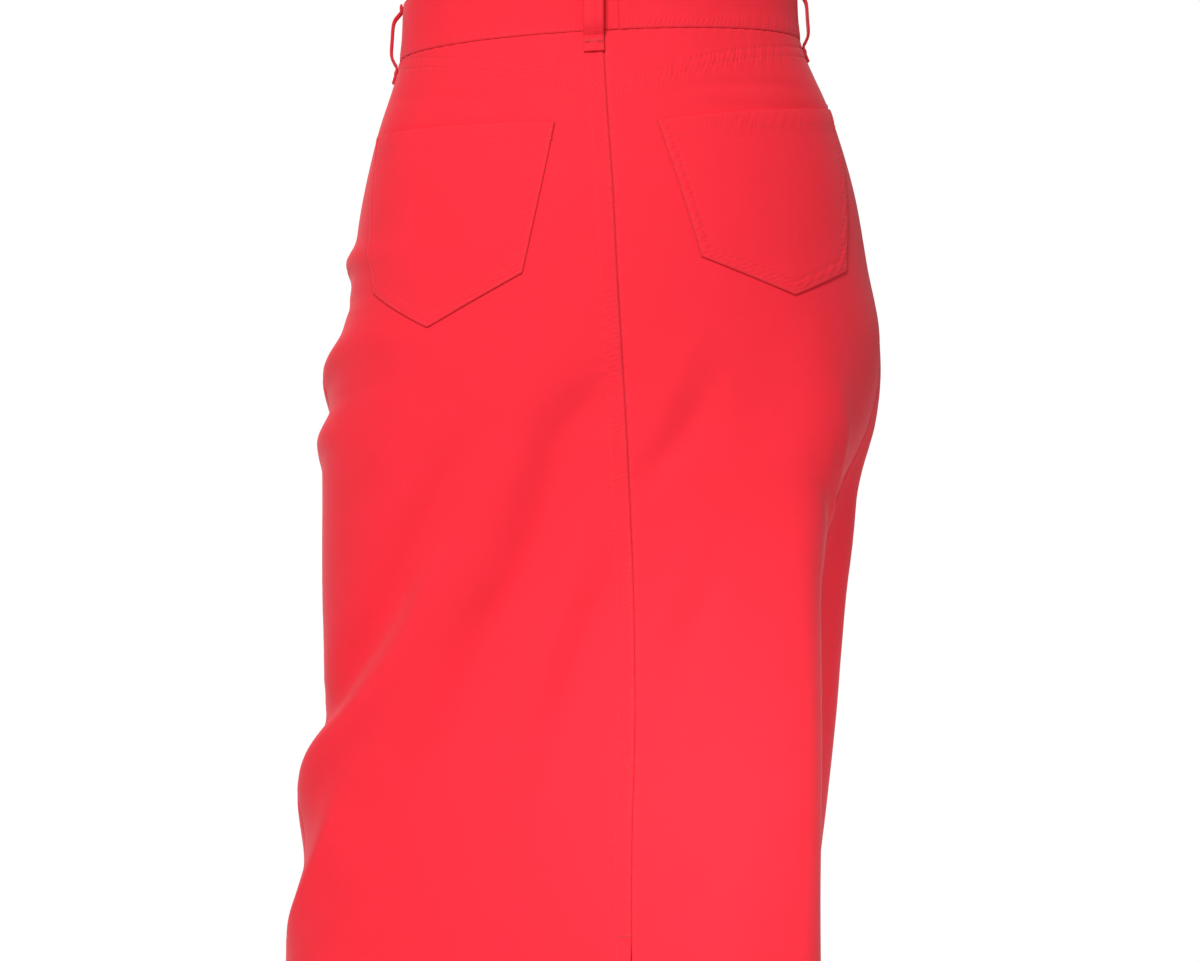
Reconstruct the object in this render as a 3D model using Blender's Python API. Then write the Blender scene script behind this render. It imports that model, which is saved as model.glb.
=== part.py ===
"""A long straight skirt of twill denim, hanging as it is worn, open at the waist and the hem.

Z points up, the front faces -Y, the back faces +Y, and the wearer's left is +X.
The origin is the centre of the waist seam, where the wearer's waist holds the skirt up.
Sizes are in millimetres until a mesh is made from them.

A place on the cloth is a pair. The quarter runs round the body: 0 at the centre back, 1 at
the left side seam, 2 at the centre front, 3 at the right side seam and 4 at the centre back
again. The drop runs down the cloth from the waist seam.
"""

from collections import namedtuple
from math import pi, radians

import bmesh
import bpy
import numpy as np
from mathutils import Vector

MM = 0.001

# Cloth
CLOTH = 1.4  # wall of one layer of denim with its turnings
POCKET_CLOTH = 1.1
POCKET_HEM = 14.0  # turned top edge of a pocket
POCKET_HEM_RISE = 0.5
SEAM_GAP = 0.3  # between two pieces that are sewn together
LAID_GAP = 0.3  # under a piece that lies on another
FELL_WIDTH = 12.0  # folded double seam down the centre back
FELL_RISE = 0.6

# Waistband
BAND_HEIGHT = 38.0
BAND_OUT = 0.6  # outer face, past the cloth below
BAND_WALL = 2.4
BAND_OVER = 22.0  # buttoned end, past the centre front
BAND_UNDER = 18.0  # end that lies under it
BAND_TUCK = 40.0  # length in which the under end slopes inwards

# Length
HEM_DROP = 922.0
HEM_FOLD = 22.0
HEM_RISE = 0.6
SLIT_DROP = 575.0
SLIT_PART = 24.0  # from the seam line to each edge of the slit at the hem

# Belt loops
LOOP_WIDTH = 13.0
LOOP_CLOTH = 1.5
LOOP_SEAT = 0.4  # inner face of a loop's ends, past what they are sewn to
LOOP_FOOT = 14.0  # drop of its lower end

# Fly
FLY_LENGTH = 150.0
SHIELD_LENGTH = 160.0
TAPE_LIFT = -3.7
TAPE_CLOTH = 0.8
SHIELD_LIFT = -4.9
SHIELD_CLOTH = 1.2
SLIDER_LIFT = -1.8
SLIDER_WALL = 1.5
BUTTON_ACROSS = 17.0
BUTTON_RISE = 3.4

# One level of the cloth: half widths and half depths from the middle of the waist, how square
# the ring is (2 is an ellipse) and its back right corner, where the centre back seam lies, and
# how far the level leans
Level = namedtuple("Level", "drop left right front back square corner seam_x lean_x lean_y")
LEVELS = (
    Level(-42, 129, 129, 92, 93, 2.10, 2.10, -2.0, -0.053, 0.056),
    Level(0, 132, 132, 96, 98, 2.10, 2.10, -2.0, -0.053, 0.056),
    Level(50, 147, 152, 104, 114, 2.12, 2.12, -4.5, -0.052, 0.050),
    Level(100, 158, 167, 110, 130, 2.15, 2.15, -8.0, -0.050, 0.040),
    Level(150, 164, 176, 114, 140, 2.18, 2.18, -10.5, -0.048, 0.030),
    Level(200, 174, 184, 117, 143, 2.20, 2.25, -13.5, -0.045, 0.020),
    Level(250, 182, 176, 118, 140, 2.22, 2.45, -16.5, -0.040, 0.012),
    Level(300, 183, 153, 119, 134, 2.25, 2.80, -19.0, -0.034, 0.006),
    Level(350, 183, 142, 120, 127, 2.28, 3.20, -21.0, -0.028, 0.0),
    Level(400, 182, 140, 120, 121, 2.30, 3.50, -22.0, -0.022, 0.0),
    Level(450, 184, 140, 121, 116, 2.32, 3.70, -22.0, -0.016, 0.0),
    Level(500, 190, 140, 121, 113, 2.34, 3.80, -20.5, -0.010, 0.0),
    Level(550, 197, 140, 122, 111, 2.36, 3.80, -20.0, -0.005, 0.0),
    Level(600, 205, 141, 122, 110, 2.38, 3.80, -20.0, 0.0, 0.0),
    Level(760, 218, 146, 124, 112, 2.40, 3.60, -19.0, 0.0, 0.0),
    Level(930, 226, 152, 128, 116, 2.40, 3.40, -18.0, 0.0, 0.0),
)

# Large folds. Each line runs smoothly through its places; the height of the ridge, or the depth
# of the trough where it is negative, and half its width change along it
FoldPlace = namedtuple("FoldPlace", "line quarter drop height width")
FOLD_PLACES = (
    FoldPlace("seat to left hem", 0.345, 268, 1.5, 13),
    FoldPlace("seat to left hem", 0.5, 334, 5.0, 14),
    FoldPlace("seat to left hem", 0.59, 373, 6.5, 15),
    FoldPlace("seat to left hem", 0.68, 401, 7.5, 15),
    FoldPlace("seat to left hem", 0.8, 434, 9.5, 17),
    FoldPlace("seat to left hem", 0.92, 468, 12.0, 19),
    FoldPlace("seat to left hem", 1.12, 508, 10.0, 24),
    FoldPlace("seat to left hem", 1.32, 560, 2.0, 28),
    FoldPlace("above the left ridge", 0.44, 243, -1.5, 14),
    FoldPlace("above the left ridge", 0.525, 274, -4.5, 15),
    FoldPlace("above the left ridge", 0.63, 316, -6.0, 16),
    FoldPlace("above the left ridge", 0.73, 353, -6.0, 16),
    FoldPlace("above the left ridge", 0.83, 384, -5.0, 16),
    FoldPlace("above the left ridge", 1, 415, -2.5, 17),
    FoldPlace("seat trough", 0.13, 203, -2.0, 13),
    FoldPlace("seat trough", 0.245, 240, -4.5, 15),
    FoldPlace("seat trough", 0.3, 287, -5.5, 16),
    FoldPlace("seat trough", 0.365, 329, -6.0, 16),
    FoldPlace("seat trough", 0.455, 366, -5.5, 16),
    FoldPlace("seat trough", 0.545, 421, -4.0, 17),
    FoldPlace("seat trough", 0.64, 460, -1.5, 18),
    FoldPlace("seat ridge", 0.02, 222, 0.8, 13),
    FoldPlace("seat ridge", 0.135, 254, 3.0, 14),
    FoldPlace("seat ridge", 0.19, 301, 4.0, 15),
    FoldPlace("seat ridge", 0.255, 343, 4.5, 15),
    FoldPlace("seat ridge", 0.345, 380, 4.5, 16),
    FoldPlace("seat ridge", 0.435, 435, 3.5, 17),
    FoldPlace("seat ridge", 0.53, 480, 1.5, 18),
    FoldPlace("seat ridge", 0.58, 540, 0.5, 20),
    FoldPlace("centre trough", 0.105, 318, -1.5, 10),
    FoldPlace("centre trough", 0.165, 358, -4.0, 11),
    FoldPlace("centre trough", 0.215, 400, -4.2, 12),
    FoldPlace("centre trough", 0.255, 440, -1.8, 13),
    FoldPlace("centre trough", 0.28, 480, -0.4, 14),
    FoldPlace("centre ridge", 0.03, 338, 0.8, 10),
    FoldPlace("centre ridge", 0.095, 372, 2.4, 11),
    FoldPlace("centre ridge", 0.145, 410, 2.6, 11),
    FoldPlace("centre ridge", 0.185, 450, 1.4, 12),
    FoldPlace("centre ridge", 0.21, 490, 0.5, 13),
    FoldPlace("lower left ridge", 0.74, 470, 1.5, 14),
    FoldPlace("lower left ridge", 0.82, 528, 5.0, 15),
    FoldPlace("lower left ridge", 0.92, 566, 5.0, 16),
    FoldPlace("lower left ridge", 1.10, 610, 3.0, 20),
    FoldPlace("lower left ridge", 1.22, 700, 1.5, 26),
    FoldPlace("upper left hip", 0.58, 134, 0.8, 9),
    FoldPlace("upper left hip", 0.82, 131, 3.5, 9),
    FoldPlace("upper left hip", 1.05, 134, 6.0, 9),
    FoldPlace("upper left hip", 1.30, 146, 1.5, 12),
    FoldPlace("left hip", 0.50, 190, 1.0, 12),
    FoldPlace("left hip", 0.75, 188, 4.0, 13),
    FoldPlace("left hip", 1.00, 205, 8.0, 13),
    FoldPlace("left hip", 1.30, 244, 3.0, 18),
    FoldPlace("left hip", 1.60, 290, 1.0, 20),
    FoldPlace("below the left hip", 0.76, 246, 1.0, 11),
    FoldPlace("below the left hip", 0.98, 251, 4.5, 11),
    FoldPlace("below the left hip", 1.25, 280, 1.5, 16),
    FoldPlace("right flute", 2.92, 195, 1.0, 26),
    FoldPlace("right flute", 2.85, 262, 14.0, 30),
    FoldPlace("right flute", 2.82, 330, 29.0, 32),
    FoldPlace("right flute", 2.82, 410, 25.0, 32),
    FoldPlace("right flute", 2.84, 490, 15.0, 34),
    FoldPlace("right flute", 2.86, 570, 3.0, 36),
    FoldPlace("right hip edge", 3.40, 235, 0.8, 9),
    FoldPlace("right hip edge", 3.27, 304, 3.0, 9),
    FoldPlace("right hip edge", 3.08, 380, 4.0, 9),
    FoldPlace("right hip edge", 3.04, 470, 4.0, 9),
    FoldPlace("right hip edge", 3.04, 580, 1.5, 12),
    FoldPlace("right seat trough", 3.8, 196, -0.8, 9),
    FoldPlace("right seat trough", 3.855, 216, -2.8, 10),
    FoldPlace("right seat trough", 3.91, 242, -3.6, 10),
    FoldPlace("right seat trough", 3.975, 262, -1.6, 9),
    FoldPlace("right seat ridge", 3.77, 226, 0.6, 10),
    FoldPlace("right seat ridge", 3.835, 256, 2.2, 11),
    FoldPlace("right seat ridge", 3.915, 276, 1.5, 10),
    FoldPlace("right seat ridge", 3.98, 292, 0.4, 10),
    FoldPlace("right thigh trough", 3.79, 318, -0.5, 11),
    FoldPlace("right thigh trough", 3.835, 346, -2.0, 12),
    FoldPlace("right thigh trough", 3.89, 368, -1.6, 11),
    FoldPlace("right thigh trough", 3.94, 396, -0.4, 11),
    FoldPlace("right thigh ridge", 3.74, 330, 0.5, 12),
    FoldPlace("right thigh ridge", 3.775, 358, 1.5, 12),
    FoldPlace("right thigh ridge", 3.83, 384, 1.2, 12),
    FoldPlace("right thigh ridge", 3.88, 420, 0.4, 12),
    FoldPlace("right hem", 3.62, 516, 1.0, 20),
    FoldPlace("right hem", 3.68, 700, 3.0, 28),
    FoldPlace("right hem", 3.66, 915, 6.0, 30),
    FoldPlace("left hem", 0.36, 560, 0.8, 24),
    FoldPlace("left hem", 0.34, 740, 3.5, 30),
    FoldPlace("left hem", 0.32, 915, 6.5, 32),
    FoldPlace("left side hem", 1.16, 660, 1.0, 26),
    FoldPlace("left side hem", 1.20, 790, 4.5, 30),
    FoldPlace("left side hem", 1.22, 915, 7.0, 32),
    FoldPlace("front left flute", 1.50, 400, 1.0, 28),
    FoldPlace("front left flute", 1.56, 640, 5.0, 32),
    FoldPlace("front left flute", 1.60, 915, 9.0, 36),
    FoldPlace("front right flute", 2.42, 420, 1.0, 28),
    FoldPlace("front right flute", 2.40, 640, 4.0, 32),
    FoldPlace("front right flute", 2.36, 915, 8.0, 36),
    FoldPlace("front trough", 2.00, 500, -1.0, 30),
    FoldPlace("front trough", 1.98, 720, -3.0, 34),
    FoldPlace("front trough", 1.98, 915, -4.0, 36),
    FoldPlace("right side hem", 2.82, 700, 1.0, 28),
    FoldPlace("right side hem", 2.84, 820, 4.0, 30),
    FoldPlace("right side hem", 2.86, 915, 6.0, 32),
    FoldPlace("front right drag", 2.72, 170, 1.0, 14),
    FoldPlace("front right drag", 2.45, 215, 2.8, 15),
    FoldPlace("front right drag", 2.14, 290, 0.8, 18),
)

# Depth of the yoke at a share of the way from the centre back to the side seam
YokeDepth = namedtuple("YokeDepth", "share left right")
YOKE_DEPTHS = (
    YokeDepth(0.0, 47, 47),
    YokeDepth(0.07, 40, 42),
    YokeDepth(0.18, 33, 36),
    YokeDepth(0.35, 25, 27),
    YokeDepth(0.6, 16, 20),
    YokeDepth(1.0, 8, 14),
)

# Corners of a back pocket: distance from the centre back seam, and drop
PocketCorner = namedtuple("PocketCorner", "name left_across left_drop right_across right_drop")
POCKET_CORNERS = (
    PocketCorner("top inner", 34, 59, 31, 61),
    PocketCorner("top outer", 188, 52, 186, 49),
    PocketCorner("lower inner", 60, 153, 54, 148),
    PocketCorner("point", 127, 183, 117, 173),
    PocketCorner("lower outer", 180, 157, 170, 157),
)

# Course of a belt loop, from the top of the waistband down: how far it stands off, as a share of
# its full stand
LoopPoint = namedtuple("LoopPoint", "drop share")
LOOP_COURSE = (
    LoopPoint(-37.5, 0.0),
    LoopPoint(-33.0, 0.0),
    LoopPoint(-30.0, 0.40),
    LoopPoint(-27.0, 0.82),
    LoopPoint(-23.0, 1.0),
    LoopPoint(-15.0, 1.03),
    LoopPoint(-7.0, 1.0),
    LoopPoint(-2.5, 0.80),
    LoopPoint(1.0, 0.42),
    LoopPoint(4.5, 0.0),
    LoopPoint(LOOP_FOOT, 0.0),
)

# Belt loops: distance from a seam, inner face past the cloth where it stands off, and how far
# the cloth under the lower end stands proud
BeltLoop = namedtuple("BeltLoop", "name seam across stand foot_rise")
BELT_LOOPS = (
    BeltLoop("belt_loop_back", 0, 6.0, 6.8, FELL_RISE),
    BeltLoop("belt_loop_left", 1, 0.0, 6.1, 0.0),
    BeltLoop("belt_loop_front_left", 2, -72.0, 6.1, 0.0),
    BeltLoop("belt_loop_front_right", 2, 72.0, 6.1, 0.0),
    BeltLoop("belt_loop_right", 3, 0.0, 6.1, 0.0),
)

Finish = namedtuple("Finish", "colour roughness metallic")
RED_TWILL = Finish((0.86, 0.035, 0.055), 0.85, 0.0)
RED_TAPE = Finish((0.70, 0.03, 0.05), 0.9, 0.0)
NICKEL = Finish((0.62, 0.60, 0.57), 0.32, 1.0)


# ---------------------------------------------------------------- cloth surface

LATTICE_STEP = 4.0  # between two rows of the lattice
LATTICE_TOP = -42.0
QUARTER_COLUMNS = 80
QUARTER_NOMINAL = 250.0  # length of a quarter where folds are drawn
RING_STEPS = 240
FOLD_STEPS = 6  # between two places of a fold


def smooth_through(places, values, at):
    """Read a smooth curve through the rows of a table."""
    places = np.asarray(places, float)
    values = np.asarray(values, float)
    slopes = np.gradient(values, places)
    row = np.clip(np.searchsorted(places, at) - 1, 0, len(places) - 2)
    span = places[row + 1] - places[row]
    t = np.clip((at - places[row]) / span, 0.0, 1.0)
    return (
        values[row] * (1 + 2 * t) * (1 - t) ** 2
        + values[row + 1] * t * t * (3 - 2 * t)
        + slopes[row] * span * t * (1 - t) ** 2
        + slopes[row + 1] * span * t * t * (t - 1)
    )


def level_at(drop):
    """The level at a drop, read between the rows of LEVELS."""
    drops = [level.drop for level in LEVELS]
    columns = (smooth_through(drops, column, drop) for column in zip(*LEVELS, strict=True))
    return Level(*(float(value) for value in columns))


def ring_points(level, turn):
    """Points of a level's ring. The turn is 0 at the back and pi / 2 at the wearer's left."""
    sine = np.sin(turn)
    cosine = np.cos(turn)
    power = 2 / np.where((sine < 0) & (cosine > 0), level.corner, level.square)
    x = np.sign(sine) * np.abs(sine) ** power * np.where(sine > 0, level.left, level.right)
    y = np.sign(cosine) * np.abs(cosine) ** power * np.where(cosine > 0, level.back, level.front)
    z = -level.drop + level.lean_x * x + level.lean_y * y
    return np.stack([x, y, z], axis=-1)


def seam_turns(level):
    """Turns of the centre back, left side, centre front, right side and centre back again."""
    back = -np.arcsin((-level.seam_x / level.right) ** (level.corner / 2))
    return (back, pi / 2, pi, 3 * pi / 2, back + 2 * pi)


def even_quarter(level, first, last):
    """One quarter of a ring in even steps along its length, and that length."""
    points = ring_points(level, np.linspace(first, last, RING_STEPS))
    along = np.concatenate([[0], np.cumsum(np.linalg.norm(np.diff(points, axis=0), axis=1))])
    wanted = np.linspace(0, along[-1], QUARTER_COLUMNS, endpoint=False)
    even = np.stack([np.interp(wanted, along, points[:, axis]) for axis in range(3)], axis=-1)
    return even, along[-1]


def fold_lines():
    """Each fold as short steps: length round the body, drop, height and width."""
    names = dict.fromkeys(place.line for place in FOLD_PLACES)
    for name in names:
        places = np.array([place[1:] for place in FOLD_PLACES if place.line == name], float)
        places[:, 0] *= QUARTER_NOMINAL
        count = len(places)
        at = np.linspace(0, count - 1, (count - 1) * FOLD_STEPS + 1)
        yield np.stack([smooth_through(range(count), column, at) for column in places.T], axis=1)


def fold_heights(quarters, drops):
    """Height of all the folds together over places on the cloth."""
    whole_turn = 4 * QUARTER_NOMINAL
    height = np.zeros(quarters.shape)
    for line in fold_lines():
        across = quarters * QUARTER_NOMINAL - line[0, 0]
        across = (across + whole_turn / 2) % whole_turn - whole_turn / 2 + line[0, 0]
        nearest = np.full(quarters.shape, np.inf)
        own = np.zeros(quarters.shape)
        for start, end in zip(line[:-1], line[1:], strict=True):
            run = end - start
            off = across - start[0], drops - start[1]
            t = np.clip((off[0] * run[0] + off[1] * run[1]) / (run[:2] @ run[:2]), 0, 1)
            away = np.hypot(off[0] - t * run[0], off[1] - t * run[1])
            rise = (start[2] + t * run[2]) * np.exp(-((away / (start[3] + t * run[3])) ** 2))
            own = np.where(away < nearest, rise, own)
            nearest = np.minimum(nearest, away)
        height += own
    return height


def cloth_lattice():
    """Points of the folded cloth on a lattice of quarters and drops, and the quarters' lengths."""
    drops = np.arange(LATTICE_TOP, HEM_DROP + 2 * LATTICE_STEP, LATTICE_STEP)
    rows = []
    lengths = []
    for drop in drops:
        level = level_at(drop)
        turns = seam_turns(level)
        parts = [even_quarter(level, turns[k], turns[k + 1]) for k in range(4)]
        rows.append(np.concatenate([part[0] for part in parts]))
        lengths.append([part[1] for part in parts])
    points = np.array(rows)
    along = np.roll(points, -1, axis=1) - np.roll(points, 1, axis=1)
    outward = np.stack([-along[..., 1], along[..., 0]], axis=-1)
    outward /= np.linalg.norm(outward, axis=-1, keepdims=True)
    quarters = np.arange(4 * QUARTER_COLUMNS) / QUARTER_COLUMNS
    heights = fold_heights(*np.meshgrid(quarters, drops))
    points[..., :2] += outward * heights[..., None]
    return points, drops, np.array(lengths)


LATTICE, LATTICE_DROPS, QUARTER_LENGTHS = cloth_lattice()


def cubic_weights(t):
    """Weights of four neighbours in a row, and of their slope, at a share t past the second."""
    point = (
        ((2 - t) * t - 1) * t / 2,
        (t * t * (3 * t - 5) + 2) / 2,
        ((4 - 3 * t) * t + 1) * t / 2,
        (t - 1) * t * t / 2,
    )
    slope = (
        (-3 * t * t + 4 * t - 1) / 2,
        (9 * t * t - 10 * t) / 2,
        (-9 * t * t + 8 * t + 1) / 2,
        (3 * t * t - 2 * t) / 2,
    )
    return point, slope


def cloth(quarters, drops, lift=0.0):
    """Points of the cloth at places on it, moved out along its own direction by lift."""
    quarters, drops, lift = np.broadcast_arrays(quarters, drops, lift)
    column = (quarters % 4) * QUARTER_COLUMNS
    row = np.clip((drops - LATTICE_TOP) / LATTICE_STEP, 1, len(LATTICE_DROPS) - 2.001)
    first_column = np.floor(column).astype(int)
    first_row = np.floor(row).astype(int)
    across, across_slope = cubic_weights(column - first_column)
    down, down_slope = cubic_weights(row - first_row)
    place = np.zeros((*quarters.shape, 3))
    along = np.zeros_like(place)
    fall = np.zeros_like(place)
    for i in range(4):
        for j in range(4):
            rows = first_row + j - 1
            columns = (first_column + i - 1) % (4 * QUARTER_COLUMNS)
            near = LATTICE[rows, columns]
            place += near * (across[i] * down[j])[..., None]
            along += near * (across_slope[i] * down[j])[..., None]
            fall += near * (across[i] * down_slope[j])[..., None]
    outward = np.cross(along, fall)
    outward /= np.linalg.norm(outward, axis=-1, keepdims=True)
    return place + outward * lift[..., None]


def beside(seam, across, drops):
    """The quarter that lies a distance past a seam, at given drops. Backwards is negative."""
    across = np.asarray(across, float)
    after = np.interp(drops, LATTICE_DROPS, QUARTER_LENGTHS[:, seam % 4])
    before = np.interp(drops, LATTICE_DROPS, QUARTER_LENGTHS[:, (seam - 1) % 4])
    return seam + np.where(across > 0, across / after, across / before)


# ---------------------------------------------------------------- making pieces


def material_of(name, finish):
    """A material with one finish, made once."""
    material = bpy.data.materials.get(name)
    if material is None:
        material = bpy.data.materials.new(name)
        material.use_nodes = True
        shader = material.node_tree.nodes["Principled BSDF"]
        shader.inputs["Base Color"].default_value = (*finish.colour, 1.0)
        shader.inputs["Roughness"].default_value = finish.roughness
        shader.inputs["Metallic"].default_value = finish.metallic
        material.diffuse_color = (*finish.colour, 1.0)
    return material


def new_piece(name, mesh, material):
    """An object for one piece, shaded smooth but for its edges."""
    mesh.materials.append(material)
    mesh.shade_smooth()
    mesh.set_sharp_from_angle(angle=radians(40))
    piece = bpy.data.objects.new(name, mesh)
    bpy.context.scene.collection.objects.link(piece)
    return piece


def grid_triangles(rows, columns):
    """Two triangles for each cell of a grid of points, facing out."""
    index = np.arange(rows * columns).reshape(rows, columns)
    a, b, c, d = index[:-1, :-1], index[:-1, 1:], index[1:, 1:], index[1:, :-1]
    return np.concatenate([np.stack(t, -1).reshape(-1, 3) for t in ((a, b, c), (a, c, d))])


def rim_of_grid(rows, columns):
    """Points round the edge of a grid, in the order of its faces' corners."""
    index = np.arange(rows * columns).reshape(rows, columns)
    return np.concatenate([index[0, :-1], index[:-1, -1], index[-1, :0:-1], index[:0:-1, 0]])


def double_wall(name, outer, inner, triangles, rim, material):
    """A closed wall between two like sheets of points, joined round their rim."""
    count = len(outer)
    following = np.roll(rim, -1)
    sides = np.stack([rim, following, following + count, rim + count], axis=-1)[:, ::-1]
    faces = triangles.tolist() + (triangles[:, ::-1] + count).tolist() + sides.tolist()
    mesh = bpy.data.meshes.new(name)
    mesh.from_pydata((np.concatenate([outer, inner]) * MM).tolist(), [], faces)
    return new_piece(name, mesh, material)


def wall(name, outer, inner, material):
    """A closed wall between two grids of points, in rows down and columns round the body."""
    size = outer.shape[:2]
    flat = outer.reshape(-1, 3), inner.reshape(-1, 3)
    return double_wall(name, *flat, grid_triangles(*size), rim_of_grid(*size), material)


def cloth_wall(name, quarters, drops, outer, thickness, material):
    """A wall on the cloth, its outer face lifted by outer."""
    quarters, drops, outer = np.broadcast_arrays(quarters, drops, outer)
    return wall(
        name, cloth(quarters, drops, outer), cloth(quarters, drops, outer - thickness), material
    )


# ---------------------------------------------------------------- panels and yokes

BACK_COLUMNS = 16
FRONT_COLUMNS = 14
YOKE_ROWS = 3
HEAD_DROP = 160.0  # drop at which the rows of a back panel no longer follow the yoke
HEAD_ROWS = 6
HIP_DROP = 310.0
HIP_ROW = 25.0
LEG_ROW = 34.5


def row_drops(first, last, step):
    """Even rows from one drop to another, about a step apart."""
    return np.linspace(first, last, max(2, round((last - first) / step) + 1))


def lower_rows():
    """Drops of the rows that every panel has below its head, down to the hem and its fold."""
    hip = row_drops(HEAD_DROP, HIP_DROP, HIP_ROW)
    leg = row_drops(HIP_DROP, HEM_DROP - HEM_FOLD - 1, LEG_ROW)
    return np.concatenate([hip[1:], leg[1:], [HEM_DROP - HEM_FOLD, HEM_DROP]])


def hem_rise(drops):
    """Extra thickness of the folded hem."""
    return np.where(drops >= HEM_DROP - HEM_FOLD, HEM_RISE, 0.0)


def slit_edge(drops):
    """Distance from the centre back line to the edge of a back panel."""
    share = np.clip((drops - SLIT_DROP) / (HEM_DROP - SLIT_DROP), 0, 1)
    return SEAM_GAP / 2 + SLIT_PART * share**1.4


def yoke_depth(share, side):
    """Drop of the yoke seam at a share of the way to the side seam."""
    shares = [depth.share for depth in YOKE_DEPTHS]
    return smooth_through(shares, [getattr(depth, side) for depth in YOKE_DEPTHS], share)


def back_columns(drops, side):
    """Quarters of a back piece's columns, one set for each row: seam, fell, then even steps."""
    edge = slit_edge(drops)
    sign = 1 if side == "left" else -1
    fell = (edge + FELL_WIDTH, edge + FELL_WIDTH + 1.0)
    near = [beside(0, sign * across, drops) for across in (edge, *fell)]
    end = beside(sign % 4 if sign > 0 else -1, -sign * SEAM_GAP / 2, drops)
    steps = np.arange(1, BACK_COLUMNS + 1) / BACK_COLUMNS
    rest = [near[-1] + (end - near[-1]) * step for step in steps]
    return np.stack([*near, *rest], axis=-1)


def back_lift(quarters, drops, side):
    """Outer face of a back piece: the felled seam, on the left, and the hem stand proud."""
    lift = np.repeat(hem_rise(drops)[:, None], quarters.shape[1], axis=1)
    if side == "left":
        lift[:, :2] = np.maximum(lift[:, :2], FELL_RISE)
    return lift


def in_order(side, grid):
    """Columns in the order that runs round the body, from the wearer's right to the left."""
    return grid if side == "left" else grid[:, ::-1]


def back_grid(side, drops_by_row):
    """Quarters, drops and lifts of a back piece, whose rows are given for shares across it."""
    middle = drops_by_row(np.zeros(1))[:, 0]
    quarters = back_columns(middle, side)
    shares = np.abs(quarters[0])
    shares = (shares - shares[0]) / (shares[-1] - shares[0])
    grid = quarters, drops_by_row(shares), back_lift(quarters, middle, side)
    return tuple(in_order(side, part) for part in grid)


def yoke_grid(side):
    """A yoke, from the waist seam down to its own slanting seam."""

    def drops_by_row(shares):
        lower = yoke_depth(shares, side) - SEAM_GAP / 2
        steps = np.linspace(0, 1, YOKE_ROWS + 1)[:, None]
        return SEAM_GAP / 2 + (lower - SEAM_GAP / 2) * steps

    return back_grid(side, drops_by_row)


def back_panel_grid(side):
    """A back panel, from the yoke seam to the hem, with its half of the slit."""

    def drops_by_row(shares):
        upper = yoke_depth(shares, side) + SEAM_GAP / 2
        steps = np.linspace(0, 1, HEAD_ROWS + 1)[:, None]
        head = upper + (HEAD_DROP - upper) * steps
        rest = np.repeat(lower_rows()[:, None], len(shares), axis=1)
        return np.concatenate([head, rest])

    return back_grid(side, drops_by_row)


def front_panel_grid(side):
    """A front panel, from the waist seam to the hem, between the fly and the side seam."""
    head = np.linspace(yoke_depth(1.0, side), HEAD_DROP, HEAD_ROWS + 1)
    drops = np.concatenate([[SEAM_GAP / 2], head, lower_rows()])
    first, last = (1, 2) if side == "left" else (2, 3)
    start = beside(first, SEAM_GAP / 2, drops)[:, None]
    end = beside(last, -SEAM_GAP / 2, drops)[:, None]
    quarters = start + (end - start) * np.linspace(0, 1, FRONT_COLUMNS)
    return np.broadcast_arrays(quarters, drops[:, None], hem_rise(drops)[:, None])


def build_panel(name, grid):
    """A panel or yoke: one layer of cloth, thicker outwards where it is folded double."""
    quarters, drops, lift = grid
    cloth_wall(name, quarters, drops, lift, CLOTH + lift, material_of("red_twill", RED_TWILL))


# ---------------------------------------------------------------- pockets


def flat_panel(side):
    """A back panel's outer face laid flat, which remembers where each of its points hangs."""
    quarters, drops, lift = back_panel_grid(side)
    shape = bmesh.new()
    hangs = shape.verts.layers.float_vector.new("hangs")
    outward = shape.verts.layers.float_vector.new("outward")
    places = cloth(quarters, drops, lift).reshape(-1, 3)
    outs = cloth(quarters, drops, lift + 1.0).reshape(-1, 3) - places
    flat = np.stack([quarters * QUARTER_NOMINAL, drops], axis=-1).reshape(-1, 2)
    for spot, place, out in zip(flat, places, outs, strict=True):
        vert = shape.verts.new((*spot, 0.0))
        vert[hangs] = place
        vert[outward] = out
    shape.verts.ensure_lookup_table()
    for corners in grid_triangles(*quarters.shape):
        shape.faces.new([shape.verts[i] for i in corners])
    return shape, hangs, outward


def cut(shape, start, end, keep_both=False):
    """Cut a flat shape along a line, keeping what lies to the right of start to end."""
    run = end - start
    bmesh.ops.bisect_plane(
        shape,
        geom=shape.verts[:] + shape.edges[:] + shape.faces[:],
        dist=0.0001,
        plane_co=(*start, 0.0),
        plane_no=(run[1], -run[0], 0.0),
        clear_outer=not keep_both,
    )


def pocket_outline(side):
    """Corners of a pocket on the flat panel, in order, from the upper left as seen from behind."""
    rows = {row.name: row for row in POCKET_CORNERS}
    order = ("top inner", "top outer", "lower outer", "point", "lower inner")
    sign = 1 if side == "left" else -1
    corners = []
    for name in order:
        across = getattr(rows[name], f"{side}_across")
        drop = getattr(rows[name], f"{side}_drop")
        corners.append((float(beside(0, sign * across, drop)) * QUARTER_NOMINAL, drop))
    return np.array(corners, float)


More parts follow.
